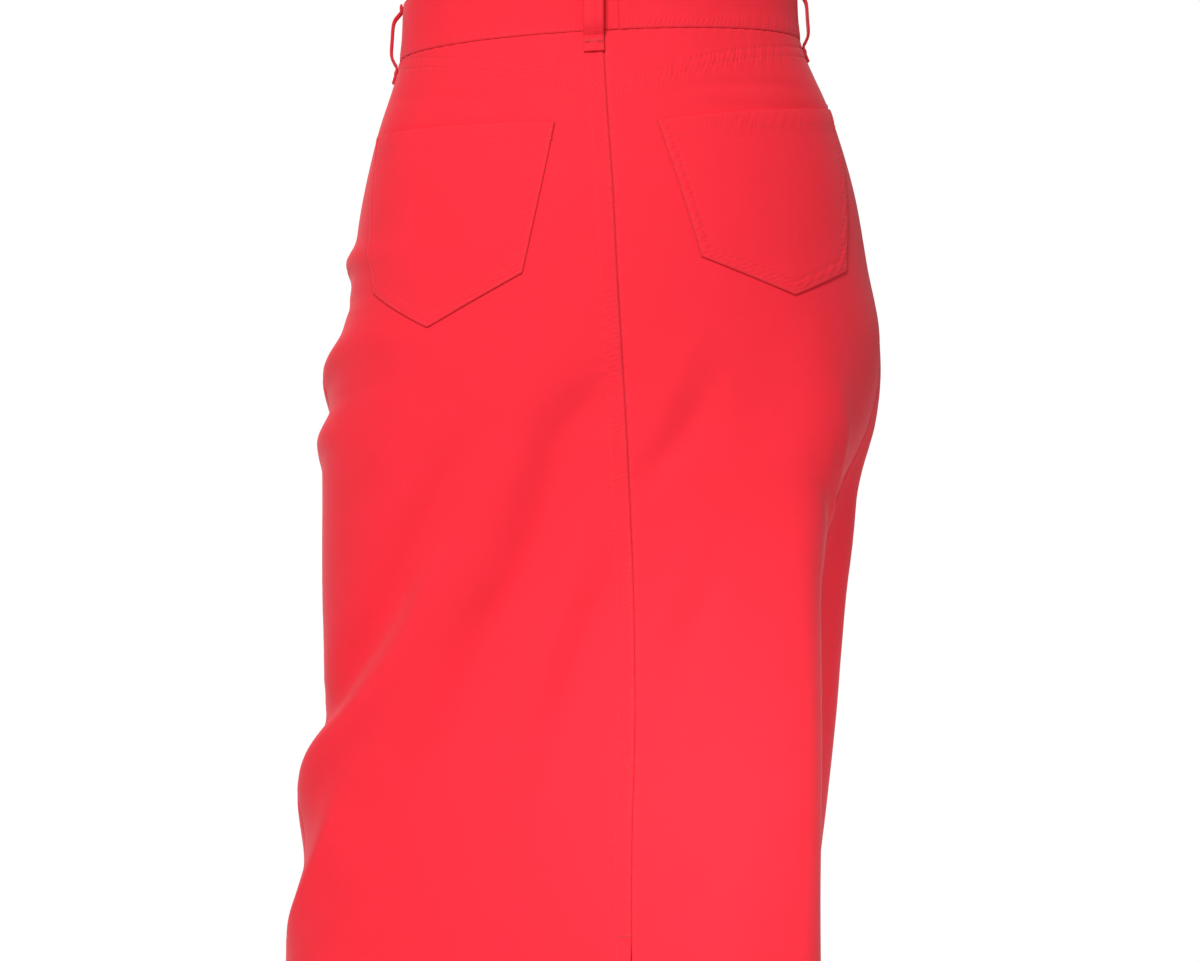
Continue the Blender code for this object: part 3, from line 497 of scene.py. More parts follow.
def creased(quarters, drops, lift=0.0):
    """Points of the cloth with its finer creases."""
    share = bpy.context.scene.skirt_cloth.crease_share
    return cloth(quarters, drops, lift + share * fold_heights(CREASE_LINES, quarters, drops))


def quarter_length(seam, drops):
    """Length of the quarter that starts at a seam, at given drops."""
    return np.interp(drops, LATTICE_DROPS, QUARTER_LENGTHS[:, seam % 4])


def beside(seam, across, drops):
    """The quarter that lies a distance past a seam, at given drops. Backwards is negative."""
    across = np.asarray(across, float)
    after = quarter_length(seam, drops)
    before = quarter_length(seam - 1, drops)
    return seam + np.where(across > 0, across / after, across / before)


# ---------------------------------------------------------------- what sewing does to cloth

ROW_PRESS = 0.32  # depth to which a stitch row presses the cloth
ROW_PRESS_WIDTH = 1.0
EDGE_ROUND = 0.55  # how far a cut edge turns down, and over what width
EDGE_ROUND_WIDTH = 0.8
WORN_WIDTH = 3.0  # strip along an edge that is rubbed pale
PAINTED_SHADE_WIDTH = 0.7  # strip along an edge that turns under, where the colour is darkened as painted shade
SHARP_CLOTH = radians(55)


def puckers(along, pitch, seed):
    """Uneven small waves along a seam, from -1 to 1."""
    drift = 1.4 * np.sin(along / 23 + seed) + 0.9 * np.sin(along / 9.1 + 2.3 * seed)
    swell = 0.55 + 0.3 * np.sin(along / 41 + 1.7 * seed) + 0.15 * np.sin(along / 17 + seed)
    return np.sin(2 * pi * along / pitch + drift) * swell


def hump(distance, width):
    """1 on a line and nothing away from it."""
    return np.exp(-((distance / width) ** 2))


def rise_between(distance, start, end, soft):
    """1 between two distances and nothing outside them, with soft steps."""

    def step(at):
        share = np.clip((distance - at) / soft + 0.5, 0, 1)
        return share * share * (3 - 2 * share)

    return step(start) - step(end)


def pressed(distance, *rows):
    """How far stitch rows at given distances from an edge press the cloth down."""
    return -ROW_PRESS * sum(hump(distance - row, ROW_PRESS_WIDTH) for row in rows)


def rounded_edge(distance, share=1.0):
    """How far the cloth turns down next to its edge."""
    return -EDGE_ROUND * share * hump(distance, EDGE_ROUND_WIDTH)


# ---------------------------------------------------------------- meshes


def shell_faces(rows, columns):
    """Quads of a closed shell between two grids: outer face, inner face and rim."""
    index = np.arange(rows * columns).reshape(rows, columns)
    corners = index[:-1, :-1], index[:-1, 1:], index[1:, 1:], index[1:, :-1]
    outer = np.stack(corners, axis=-1).reshape(-1, 4)
    rim = np.concatenate([index[0, :-1], index[:-1, -1], index[-1, :0:-1], index[:0:-1, 0]])
    following = np.roll(rim, -1)
    count = rows * columns
    sides = np.stack([rim, following, following + count, rim + count], axis=-1)[:, ::-1]
    return np.concatenate([outer, outer[:, ::-1] + count, sides])


def mesh_of(name, points, faces, flat, masks=None):
    """A mesh in millimetres, with a flat map in metres and a shell's masks for its material."""
    mesh = bpy.data.meshes.new(name)
    mesh.from_pydata((points * MM).tolist(), [], faces)
    corners = np.empty(len(mesh.loops), dtype=np.int32)
    mesh.loops.foreach_get("vertex_index", corners)
    layer = mesh.uv_layers.new(name="flat")
    layer.uv.foreach_set("vector", (flat[corners] * MM).astype(np.float32).ravel())
    for label, values in (masks or {}).items():
        mask = mesh.attributes.new(label, "FLOAT", "POINT")
        mask.data.foreach_set("value", np.tile(values.ravel(), 2).astype(np.float32))
    return mesh


def add_piece(mesh, finish, *nodes):
    """An object for a finished mesh. It rides on the body and stands for the nodes."""
    mesh.materials.clear()
    mesh.materials.append(material_of(finish))
    piece = bpy.data.objects.new(mesh.name, mesh)
    bpy.context.scene.collection.objects.link(piece)
    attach(piece, BODY)
    if nodes:
        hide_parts(*nodes)
    return piece


def longest_line(points):
    """Length of the longest row of a grid of points."""
    return np.linalg.norm(np.diff(points, axis=1), axis=2).sum(axis=1).max()


def add_sheet(
    node, outer, inner, flat, edge, ribs=(0.0, 0.0), finish="red denim"
):
    """A cut piece of cloth as a closed shell.

    The edge is each place's distance from the piece's edges. The ribs say how strongly stitches
    draw up fine ribs there, running down the cloth and round it.
    """
    rows, columns = outer.shape[:2]
    points = np.concatenate([outer.reshape(-1, 3), inner.reshape(-1, 3)])
    # The narrow strip along each edge carries painted shade: the colour is darkened where the
    # cloth turns under. The wider strip is rubbed wear.
    masks = {"near_edge": hump(edge, WORN_WIDTH), "turned_edge": hump(edge, PAINTED_SHADE_WIDTH)}
    for label, share in zip(("ribs_down", "ribs_round"), ribs, strict=True):
        masks[label] = np.broadcast_to(share, (rows, columns))
    flat_places = np.tile(flat.reshape(-1, 2), (2, 1))
    faces = shell_faces(rows, columns).tolist()
    mesh = mesh_of(f"cloth_{node}", points, faces, flat_places, masks)
    mesh.shade_smooth()
    mesh.set_sharp_from_angle(angle=SHARP_CLOTH)
    piece = add_piece(mesh, finish, node)
    length = longest_line(outer.transpose(1, 0, 2)) * MM


# ---------------------------------------------------------------- back panels and yokes

NEAR_STEP = 1.2  # between columns near the centre back
NEAR_WIDTH = 15.6
BACK_STEP = 2.6  # between the other columns
HEAD_DROP = 160.0  # drop at which rows no longer follow the yoke
ROW_STEP = 2.0
LOWER_DROP = 600.0  # drop from which rows lie further apart
LOWER_STEP = 4.0
HEM_ROWS = 23
YOKE_ROWS = 26
FELL_ROWS = (1.7, 10.4)  # stitch rows from the centre back edge
YOKE_STITCH_ROWS = (1.7, 8.2)  # above the yoke seam
SLIT_ROW = 9.0
SLIT_FADE = 20.0  # drop in which the sewn seam gives way to the open slit
HEM_ROW = HEM_FOLD - 2.0
FELL_END = 466.0  # drop of the bar tack where the slit's extension begins
EDGE_QUARTER = 240.0  # length of a quarter, where distances to its ends are only needed roughly
FIRST_QUARTERS = {"left": 0, "right": 3}  # quarter that a back piece lies in


def slit_edge(drops):
    """Distance from the centre back line to the edge of a back panel."""
    share = np.clip((drops - SLIT_DROP) / (HEM_DROP - SLIT_DROP), 0, 1)
    return SEAM_GAP / 2 + SLIT_PART * share**1.4


def yoke_depth(share, side):
    """Drop of the yoke seam at a share of the way to the side seam."""
    shares = [depth.share for depth in YOKE_DEPTHS]
    return smooth_through(shares, [getattr(depth, side) for depth in YOKE_DEPTHS], share)


def sign_of(side):
    """1 on the left and -1 on the right, where quarters from the centre back are negative."""
    return 1 if side == "left" else -1


def back_columns(drops, side):
    """Quarters of a back piece's columns, one set for each row, from the centre back outwards."""
    edge = slit_edge(drops)
    sign = sign_of(side)
    near = [beside(0, sign * (edge + off), drops) for off in np.arange(0, NEAR_WIDTH, NEAR_STEP)]
    last = beside(sign, -sign * SEAM_GAP / 2, drops)
    count = round((QUARTER_NOMINAL - NEAR_WIDTH) / BACK_STEP)
    rest = [near[-1] + (last - near[-1]) * step for step in np.arange(1, count + 1) / count]
    return np.stack([*near, *rest], axis=-1)


def in_order(side, *grids):
    """Grids with their columns in the order that runs round the skirt, from right to left."""
    return grids if side == "left" else tuple(grid[:, ::-1] for grid in grids)


def from_middle(quarters, drops, side):
    """Distance from the centre back line."""
    return np.abs(quarters) * quarter_length(FIRST_QUARTERS[side], drops)


def middle_seam_lift(quarters, drops, side):
    """The seam down the centre back: felled and stitched twice on the left, plain on the right."""
    away = from_middle(quarters, drops, side) - slit_edge(drops)
    lift = rounded_edge(away)
    loose = np.clip((drops - SLIT_DROP) / SLIT_FADE, 0, 1)
    if side == "left":
        lift += FELL_RISE * rise_between(away, -9.0, FELL_WIDTH, 1.6)
        lift += pressed(away, *FELL_ROWS) * (1 - loose)
        slanted = puckers(drops + 0.7 * away, pitch=7.4, seed=1.0)
        lift += 0.3 * slanted * rise_between(away, 2.6, 12.6, 4.0) * (1 - loose)
        beyond = puckers(drops - 0.4 * away, pitch=9.0, seed=2.0)
        lift += 0.16 * beyond * hump(away - 15, 6) * (1 - loose)
    else:
        lift += 0.12 * puckers(drops, pitch=9.5, seed=3.0) * hump(away - 3, 4)
    lift += loose * pressed(away, SLIT_ROW)
    return lift + loose * 0.2 * puckers(drops, pitch=11.0, seed=4.0) * hump(away - 5, 5)


def side_seam_lift(quarters, drops, seam, side_lengths):
    """The plain seam down a side, drawn in a little by its thread."""
    away = np.abs(quarters - seam) * side_lengths
    waves = puckers(drops, pitch=15.0, seed=5.0 + seam)
    return rounded_edge(away) + 0.22 * waves * hump(away, 7)


def hem_lift(drops, along):
    """The folded hem, twisted a little between its row and its edge."""
    up = HEM_DROP - drops
    lift = HEM_RISE * rise_between(up, -5.0, HEM_FOLD, 2.4) + rounded_edge(up)
    lift += pressed(up, HEM_ROW)
    twisted = puckers(along + 0.8 * up, pitch=12.0, seed=6.0)
    return lift + 0.3 * twisted * rise_between(up, 2, HEM_FOLD, 6)


def along_back(quarters, drops, side):
    """Distance round the skirt from the centre back, negative on the right."""
    return sign_of(side) * from_middle(quarters, drops, side)


def yoke_seam(quarters, side):
    """Drop of the yoke seam at given quarters."""
    return yoke_depth(np.clip(np.abs(quarters), 0, 1), side)


def back_seams_lift(quarters, drops, side):
    """The seams at both ends of a back piece."""
    lengths = quarter_length(FIRST_QUARTERS[side], drops)
    lift = middle_seam_lift(quarters, drops, side)
    return lift + side_seam_lift(quarters, drops, sign_of(side), lengths)


def back_panel_lift(quarters, drops, side):
    """Height of a back panel's outer face over the creased cloth."""
    lift = back_seams_lift(quarters, drops, side)
    lift += hem_lift(drops, along_back(quarters, drops, side))
    below = drops - yoke_seam(quarters, side)
    along = from_middle(quarters, drops, side)
    return lift + 0.2 * puckers(along, pitch=8.6, seed=7.0) * hump(below - 1, 6)


def yoke_lift(quarters, drops, side):
    """Height of a yoke's outer face: two stitch rows over its lower seam, puckered between."""
    lift = back_seams_lift(quarters, drops, side)
    above = yoke_seam(quarters, side) - drops
    along = from_middle(quarters, drops, side)
    lift += pressed(above, *YOKE_STITCH_ROWS)
    between = puckers(along, pitch=8.2, seed=8.0 + sign_of(side))
    lift += 0.24 * between * rise_between(above, 1.0, 10.0, 3.0)
    lift += 0.3 * puckers(along, pitch=9.0, seed=9.0 + sign_of(side)) * hump(drops, 6)
    return lift + rounded_edge(drops)


def back_piece(node, side, quarters, drops, lift_of):
    """A back panel or a yoke from its grid of places."""
    middle_edge = from_middle(quarters, drops, side) - slit_edge(drops)
    edge = np.minimum(middle_edge, (1 - np.abs(quarters)) * EDGE_QUARTER)
    edge = np.minimum(edge, HEM_DROP - drops)
    flat = np.stack([along_back(quarters, drops, side), -drops], axis=-1)
    lift = lift_of(quarters, drops, side)
    quarters, drops, lift, edge, flat = in_order(side, quarters, drops, lift, edge, flat)
    outer = creased(quarters, drops, lift)
    inner = creased(quarters, drops, -CLOTH)
    ribs = back_ribs(quarters, drops, side)
    add_sheet(node, outer, inner, flat, edge, ribs)


def back_ribs(quarters, drops, side):
    """Where the stitches of the yoke seam and of the centre back seam draw up fine ribs."""
    above = yoke_seam(quarters, side) - drops
    down = rise_between(above, -2.5, 10.5, 3.0)
    away = from_middle(quarters, drops, side) - slit_edge(drops)
    sewn = np.clip((SLIT_DROP - drops) / SLIT_FADE, 0, 1)
    if side == "left":
        return down, rise_between(away, 1.5, FELL_WIDTH + 0.5, 3.0) * sewn
    return down, 0.5 * hump(away - 2, 2.5) * sewn


def panel_rows():
    """Drops of a panel's rows below its head."""
    middle = np.arange(HEAD_DROP, LOWER_DROP, ROW_STEP)[1:]
    lower = np.arange(LOWER_DROP, HEM_DROP - HEM_FOLD - 6, LOWER_STEP)
    fold = np.linspace(HEM_DROP - HEM_FOLD - 5, HEM_DROP, HEM_ROWS)
    return np.concatenate([middle, lower, fold])


def seam_columns(side):
    """Drops of the yoke seam at the columns of the back pieces, which share them."""
    (quarters,) = back_columns(np.array([yoke_depth(0.0, side)]), side)
    return yoke_seam(quarters, side)


def make_back_panel(side):
    """A back panel, from the yoke seam to the hem, with its half of the slit."""
    upper = seam_columns(side) + LAPPED_GAP / 2
    head_count = round((HEAD_DROP - yoke_depth(0.7, side)) / ROW_STEP)
    steps = np.linspace(0, 1, head_count + 1)[:, None]
    head_drops = upper + (HEAD_DROP - upper) * steps
    rows = panel_rows()
    drops = np.concatenate([head_drops, np.repeat(rows[:, None], len(upper), axis=1)])
    quarters = back_columns(drops[:, 0], side)
    back_piece(f"back_{side}", side, quarters, drops, back_panel_lift)


def make_yoke(side):
    """A yoke, from the waist seam down to its own slanting seam."""
    lower = seam_columns(side) - LAPPED_GAP / 2
    steps = np.linspace(0, 1, YOKE_ROWS + 1)[:, None]
    drops = SEAM_GAP / 2 + (lower - SEAM_GAP / 2) * steps
    quarters = back_columns(drops[:, 0], side)
    back_piece(f"back_yoke_{side}", side, quarters, drops, yoke_lift)


# ---------------------------------------------------------------- front panels

FRONT_STEP = 4.2  # between columns
FRONT_ROW_STEP = 3.0  # between rows at the top, before they are thinned
FRONT_ROWS_APART = 3.6
FRONT_EDGE_STEPS = (0, 1.2, 2.4, 3.6, 5.2, 7.0, 8.8, 11.0)  # columns from each end of a panel
FRONT_ROWS = (1.7, 7.4)  # stitch rows beside the centre front seam
FLY_WIDTH = 31.0  # from the centre front to the outer row of the fly's curved stitching
FLY_INNER = 25.0  # and to the inner one
FLY_INSETS = (0.0, FLY_WIDTH - FLY_INNER)
FLY_BEND = 40.0  # height of the curve at the fly's foot
FLY_CURVE = 38.0
SIDE_SEAMS = {"left": 1, "right": 3}
FRONT_STARTS = {"left": 1, "right": 2}  # quarter that a front panel lies in


def fly_line(inset):
    """Places of a row of the fly's curved stitching: distance from the centre front, and drop."""
    width = FLY_WIDTH - inset
    bend = FLY_LENGTH - FLY_BEND
    straight = np.stack([np.full(30, -width), np.linspace(2, bend, 30)], axis=-1)
    turn = np.linspace(0, pi / 2, 20)[1:]
    curve = np.stack([-width * np.cos(turn), bend + (FLY_CURVE - inset) * np.sin(turn)], axis=-1)
    return np.concatenate([straight, curve])


def distance_to_line(across, drops, line):
    """Distance from places to a line of short steps, all in millimetres."""
    nearest = np.full(np.broadcast(across, drops).shape, np.inf)
    for start, end in zip(line[:-1], line[1:], strict=True):
        run = end - start
        off = across - start[0], drops - start[1]
        t = np.clip((off[0] * run[0] + off[1] * run[1]) / (run @ run), 0, 1)
        nearest = np.minimum(nearest, np.hypot(off[0] - t * run[0], off[1] - t * run[1]))
    return nearest


def front_panel_lift(quarters, drops, side):
    """Height of a front panel's outer face over the creased cloth."""
    lengths = quarter_length(FRONT_STARTS[side], drops)
    lift = side_seam_lift(quarters, drops, SIDE_SEAMS[side], lengths)
    away = np.abs(quarters - 2) * lengths
    along = (quarters - 2) * lengths
    lift += rounded_edge(away) + hem_lift(drops, along) + rounded_edge(drops)
    lift += 0.15 * puckers(along, pitch=9.0, seed=11.0) * hump(drops, 6)
    if side == "left":
        lift += 0.35 * rise_between(away, -9.0, 8.0, 1.6) + pressed(away, *FRONT_ROWS)
        slanted = puckers(drops + 0.6 * away, pitch=8.0, seed=12.0)
        lift += 0.22 * slanted * rise_between(away, 1, 9, 3)
        for inset in FLY_INSETS:
            lift -= 0.25 * hump(distance_to_line(along, drops, fly_line(inset)), 1.1)
    return lift


def make_front_panel(side):
    """A front panel, from the waist seam to the hem, between the fly and the side seam."""
    first = FRONT_STARTS[side]
    upper = np.arange(SEAM_GAP / 2, HEAD_DROP, FRONT_ROW_STEP)
    rows = thinned(np.concatenate([upper, panel_rows()]), FRONT_ROWS_APART)
    start = beside(first, SEAM_GAP / 2, rows)[:, None]
    end = beside(first + 1, -SEAM_GAP / 2, rows)[:, None]
    near = np.array(FRONT_EDGE_STEPS) / QUARTER_NOMINAL
    shares = even_between(near, round(QUARTER_NOMINAL / FRONT_STEP))
    quarters = start + (end - start) * shares
    drops = np.repeat(rows[:, None], len(shares), axis=1)
    edge = np.minimum(shares, 1 - shares) * EDGE_QUARTER
    edge = np.minimum(np.broadcast_to(edge, quarters.shape), HEM_DROP - drops)
    along = (quarters - 2) * quarter_length(first, drops)
    outer = creased(quarters, drops, front_panel_lift(quarters, drops, side))
    inner = creased(quarters, drops, -CLOTH)
    flat = np.stack([along, -drops], axis=-1)
    add_sheet(f"front_{side}", outer, inner, flat, edge)


def even_between(near, count):
    """Shares of a length: given ones at both ends, and even steps between them."""
    even = np.linspace(near[-1], 1 - near[-1], count)[1:-1]
    return np.concatenate([near, even, 1 - near[::-1]])


def thinned(values, step):
    """Values at least a step apart, with the last one and the closely set rows of the hem."""
    kept = [values[0]]
    for value in values[1:]:
        if value - kept[-1] >= step or value > HEM_DROP - HEM_FOLD - 5:
            kept.append(value)
    return np.array(kept)


# ---------------------------------------------------------------- pockets

POCKET_STEP = 2.0
POCKET_EDGE_STEPS = (0, 0.35, 0.7, 1.1, 1.6, 2.1, 2.8, 3.8, 5.0, 6.2, 7.1, 7.6, 8.1, 9.0, 10.5)
POCKET_ACROSS = 150.0  # width and height by which a pocket's rows and columns are counted
POCKET_DOWN = 110.0
POCKET_POINT = 0.56  # share of the width at which its point lies
POCKET_EDGE_ROWS = (1.6, 7.6)  # stitch rows from the sewn edges
POCKET_HEM_ROW = 10.6  # stitch row from the top edge
POCKET_QUARTER = QUARTER_NOMINAL * 1.04  # length of a quarter where the pockets lie
POCKET_SEEDS = {"left": 13.0, "right": 14.0}
POCKET_TOP = ("top inner", "top outer")
POCKET_SEWN = ("top outer", "lower outer", "point", "lower inner", "top inner")
POCKET_TOP_EASE = 1.6  # how much less the open top edge gets the painted edge shade and the rubbed strip than the sewn ones


def pocket_corners(side):
    """Corners of a pocket by name: quarter and drop."""
    corners = {}
    for corner in POCKET_CORNERS:
        across = getattr(corner, f"{side}_across")
        drop = getattr(corner, f"{side}_drop")
        corners[corner.name] = np.array([float(beside(0, sign_of(side) * across, drop)), drop])
    return corners


def pocket_place(quarters, drops):
    """Places of a pocket as flat distances, to measure from its edges."""
    return np.stack([np.abs(quarters) * POCKET_QUARTER, drops], axis=-1)


def pocket_line(side, names):
    """Corners of a pocket in a row, as flat distances."""
    corners = pocket_corners(side)
    return np.array([pocket_place(*corners[name]) for name in names])


def pocket_edges(quarters, drops, side):
    """Distances to the top edge of a pocket and to its nearest sewn edge."""
    across, down = np.moveaxis(pocket_place(quarters, drops), -1, 0)
    return [
        distance_to_line(across, down, pocket_line(side, names))
        for names in (POCKET_TOP, POCKET_SEWN)
    ]


def pocket_lift(quarters, drops, side):
    """Height of a pocket's outer face over the creased cloth."""
    top, sewn = pocket_edges(quarters, drops, side)
    lift = LAID_GAP + POCKET_CLOTH + rounded_edge(sewn, 0.5) + rounded_edge(top, 0.3)
    lift = lift + POCKET_HEM_RISE * rise_between(top, -5, POCKET_HEM - 1.0, 1.8)
    lift += pressed(sewn, *POCKET_EDGE_ROWS) + pressed(top, POCKET_HEM_ROW)
    along = np.abs(quarters) * QUARTER_NOMINAL + drops
    seed = POCKET_SEEDS[side]
    lift += 0.3 * puckers(along, pitch=7.6, seed=seed) * rise_between(sewn, 2.0, 9.0, 3.0)
    lift += 0.2 * puckers(along, pitch=9.4, seed=seed + 2) * rise_between(top, 1.5, 12.5, 4.0)
    body = np.clip((sewn - 9) / 26, 0, 1)
    return lift + 0.5 * body * body * (3 - 2 * body)


def dense_at_ends(length):
    """Shares of a length: the pocket's close steps at both ends, and even steps between."""
    near = np.array(POCKET_EDGE_STEPS) / length
    return even_between(near, round(length * (1 - 2 * near[-1]) / POCKET_STEP))


def make_pocket(side):
    """A patch pocket with a turned hem on top and a point below."""
    corners = pocket_corners(side)
    share = dense_at_ends(POCKET_ACROSS)
    top = corners["top inner"] + (corners["top outer"] - corners["top inner"]) * share[:, None]
    lower = np.array([corners[name] for name in ("lower inner", "point", "lower outer")])
    bottom = np.stack([np.interp(share, (0, POCKET_POINT, 1), axis) for axis in lower.T], axis=-1)
    grid = top + (bottom - top) * dense_at_ends(POCKET_DOWN)[:, None, None]
    quarters, drops = grid[..., 0], grid[..., 1]
    lift = pocket_lift(quarters, drops, side)
    top_away, sewn_away = pocket_edges(quarters, drops, side)
    # The painted edge shade and the rubbed strip both follow this distance, so the top edge gets
    # less of them.
    edge = np.minimum(top_away + POCKET_TOP_EASE, sewn_away)
    flat = np.stack([along_back(quarters, drops, side), -drops], axis=-1)
    down = 0.55 * rise_between(top_away, 2.0, 12.0, 3.0)
    across = rise_between(sewn_away, 1.0, 9.0, 2.0) * (1 - down)
    grids = in_order(side, quarters, drops, lift, edge, flat, down, across)
    quarters, drops, lift, edge, flat, *ribs = grids
    outer = creased(quarters, drops, lift)
    inner = creased(quarters, drops, LAID_GAP)
    add_sheet(f"back_pocket_{side}", outer, inner, flat, edge, ribs)


# ---------------------------------------------------------------- waistband and loops

BAND_COLUMNS = 380
BAND_ROWS = 26
BAND_QUARTER = 181.0  # length of a quarter of the band
BAND_STITCH_ROWS = (2.0, BAND_HEIGHT - 2.2)  # above the waist seam
BAND_JOIN = -11.0  # upright seam of the band, from the centre back
JOIN_COLUMNS = np.linspace(-3, 3, 13) / 180.0  # close columns over it, in quarters
LAP_GAP = 0.5  # between the band's two ends where they lap
LAP_MARGIN = 4.0
LOOP_ROWS = 64
LOOP_COLUMNS = 13
LOOP_LENGTH = 56.0
LOOP_STITCH = 3.6  # from the middle of a loop to each stitch row


def band_base(quarters):
    """Lift of the waistband: its under end slopes inwards to lie below the buttoned end."""
    tucked = BAND_WALL + LAP_GAP
    flat_end = beside(2, BAND_OVER + LAP_MARGIN, 0.0)
    slope_end = beside(2, BAND_OVER + LAP_MARGIN + BAND_TUCK, 0.0)
    share = np.clip((quarters - flat_end) / (slope_end - flat_end), 0, 1)
    return BAND_OUT - tucked * (1 - share * share * (3 - 2 * share))


def join_quarter():
    """Quarter at which the band's upright seam lies."""
    return 4 + BAND_JOIN / quarter_length(3, 0.0)


def band_lift(quarters, drops):
    """Height of the waistband's outer face."""
    up = -drops
    along = quarters * quarter_length(0, 0.0)
    lift = band_base(quarters) + pressed(up, *BAND_STITCH_ROWS)
    lift += rounded_edge(up) + rounded_edge(BAND_HEIGHT - up)
    slanted = puckers(along + 0.25 * up, pitch=8.4, seed=15.0)
    lift += 0.25 * slanted * rise_between(up, 1.0, 11.0, 8.0)
    lift += 0.14 * puckers(along, pitch=9.6, seed=16.0) * hump(BAND_HEIGHT - 5 - up, 4)
    join = np.abs(quarters - join_quarter()) * quarter_length(3, 0.0)
    lift += 0.35 * rise_between(join, -5.0, 7.0, 1.6) - 0.9 * hump(join, 0.9)
    return lift + 0.3 * np.sin(along / 37.0) * rise_between(up, 8, BAND_HEIGHT - 8, 10)


def make_waistband():
    """The band round the waist. Its buttoned end lies over the other at the centre front."""
    first = beside(2, -BAND_UNDER, 0.0)
    last = beside(2, BAND_OVER, 0.0) + 4
    even = np.linspace(first, last, BAND_COLUMNS)
    columns = np.sort(np.concatenate([even, join_quarter() + JOIN_COLUMNS]))
    rows = np.linspace(-BAND_HEIGHT, -SEAM_GAP / 2, BAND_ROWS)
    quarters, drops = np.meshgrid(columns, rows)
    ends = np.minimum(quarters - first, last - quarters) * BAND_QUARTER
    lift = band_lift(quarters, drops) + rounded_edge(ends)
    edge = np.minimum(np.minimum(-drops, BAND_HEIGHT + drops), ends)
    flat = np.stack([quarters * BAND_QUARTER, -drops], axis=-1)
    outer = cloth(quarters, drops, lift)
    inner = cloth(quarters, drops, band_base(quarters) - BAND_WALL)
    down = rise_between(-drops, 1.0, 6.0, 2.5) + 0.5 * hump(BAND_HEIGHT - 4 + drops, 2.5)
    add_sheet("waistband", outer, inner, flat, edge, (down, 0.0))


def loop_course(loop):
    """Places down the middle of a belt loop, and which way its outer face points there."""
    drops, shares = np.array(LOOP_COURSE).T
    seat = LOOP_SEAT + np.where(drops < 0, BAND_OUT, loop.foot_rise)
    lifts = seat + (loop.stand - seat) * shares
    at = np.linspace(0, len(drops) - 1, LOOP_ROWS)
    course = np.stack(
        [smooth_through(range(len(drops)), column, at) for column in (drops, lifts)], axis=1
    )
    run = np.gradient(course, axis=0)
    run /= np.linalg.norm(run, axis=1, keepdims=True)
    return course, np.stack([-run[:, 1], run[:, 0]], axis=1)


def loop_surface(loop, across, rise):
    """Points of a belt loop: across its width, and out from its inner face."""
    course, out = loop_course(loop)
    line = course + out * rise
    quarters = beside(loop.seam, loop.across + across, 0.0)
    quarters = np.broadcast_to(quarters, (len(line), np.size(across)))
    return cloth(quarters, line[:, :1], line[:, 1:])


def make_belt_loop(loop):
    """A folded strip sewn down at both ends, with two stitch rows."""
    across = np.linspace(-0.5, 0.5, LOOP_COLUMNS) * LOOP_WIDTH
    edge = LOOP_WIDTH / 2 - np.abs(across)
    profile = rounded_edge(edge) + 0.22 * rise_between(edge, 4.2, 20, 2.0)
    profile += -0.25 * hump(np.abs(across) - LOOP_STITCH, 0.9)
    columns = zip(across, LOOP_CLOTH + profile, strict=True)
    outer = np.stack([loop_surface(loop, *column)[:, 0] for column in columns], axis=1)
    inner = loop_surface(loop, across, 0.0)
    flat = np.stack(np.meshgrid(across, np.linspace(0, LOOP_LENGTH, LOOP_ROWS)), axis=-1)
    edges = np.broadcast_to(edge, outer.shape[:2])
    add_sheet(loop.name, outer, inner, flat, edges)


# ---------------------------------------------------------------- stitching

THREAD_SINK = 0.06  # how deep a stitch's middle lies in the cloth
THREAD_FLATNESS = 1.3  # how much wider than high a stitch is
STITCH_BLUNTNESS = 0.6  # of its ends: 1 is as round as a ball
YOKE_ENDS = (0.01, 0.985)  # quarters between which a yoke's rows run
HEM_ENDS = (0.004, 0.996)  # and the row of a front panel's hem
ROW_POINTS = 200  # along a piece's part of the hem's row
TACK_STEP = 0.62  # between two stitches of a bar tack on a panel, and on a loop
LOOP_TACK_STEP = 0.6
LOOP_TACK_LIFT = 0.32
LOOP_TACK_ROWS = (3, LOOP_ROWS - 5)
LOOP_SEWN_ROWS = slice(2, -9)  # rows down which a loop's stitches run
ROW_END = 2.0  # where a row stops before the hem or an end of the band
BUTTONHOLE_HALF = 8.5
BUTTONHOLE_BEAD = 2.4
BUTTONHOLE_MIDDLE = 3.0  # from the centre front
BUTTONHOLE_STITCHES = 84


def stitch_shape():
    """Points and faces of one stitch along X, a spindle of thread, in millimetres."""
    sizes = bpy.context.scene.skirt_stitch
    bpy.ops.object.select_all(action="DESELECT")
    bpy.ops.mesh.primitive_uv_sphere_add(segments=6, ring_count=4, radius=1.0)
    ball = bpy.context.object
    mesh = ball.data
    mesh.transform(Matrix.Rotation(pi / 2, 4, "Y"))
    points = np.array([vert.co[:] for vert in mesh.vertices])
    half_width = sizes.thread / 2
    half_sizes = np.array([sizes.length / 2, half_width, half_width / THREAD_FLATNESS]) / MM
    faces = [tuple(face.vertices) for face in mesh.polygons]
    bpy.data.objects.remove(ball, do_unlink=True)
    bpy.data.meshes.remove(mesh)
    stretched = np.sign(points[:, :1]) * np.abs(points[:, :1]) ** STITCH_BLUNTNESS
    return np.concatenate([stretched, points[:, 1:]], axis=1) * half_sizes, faces


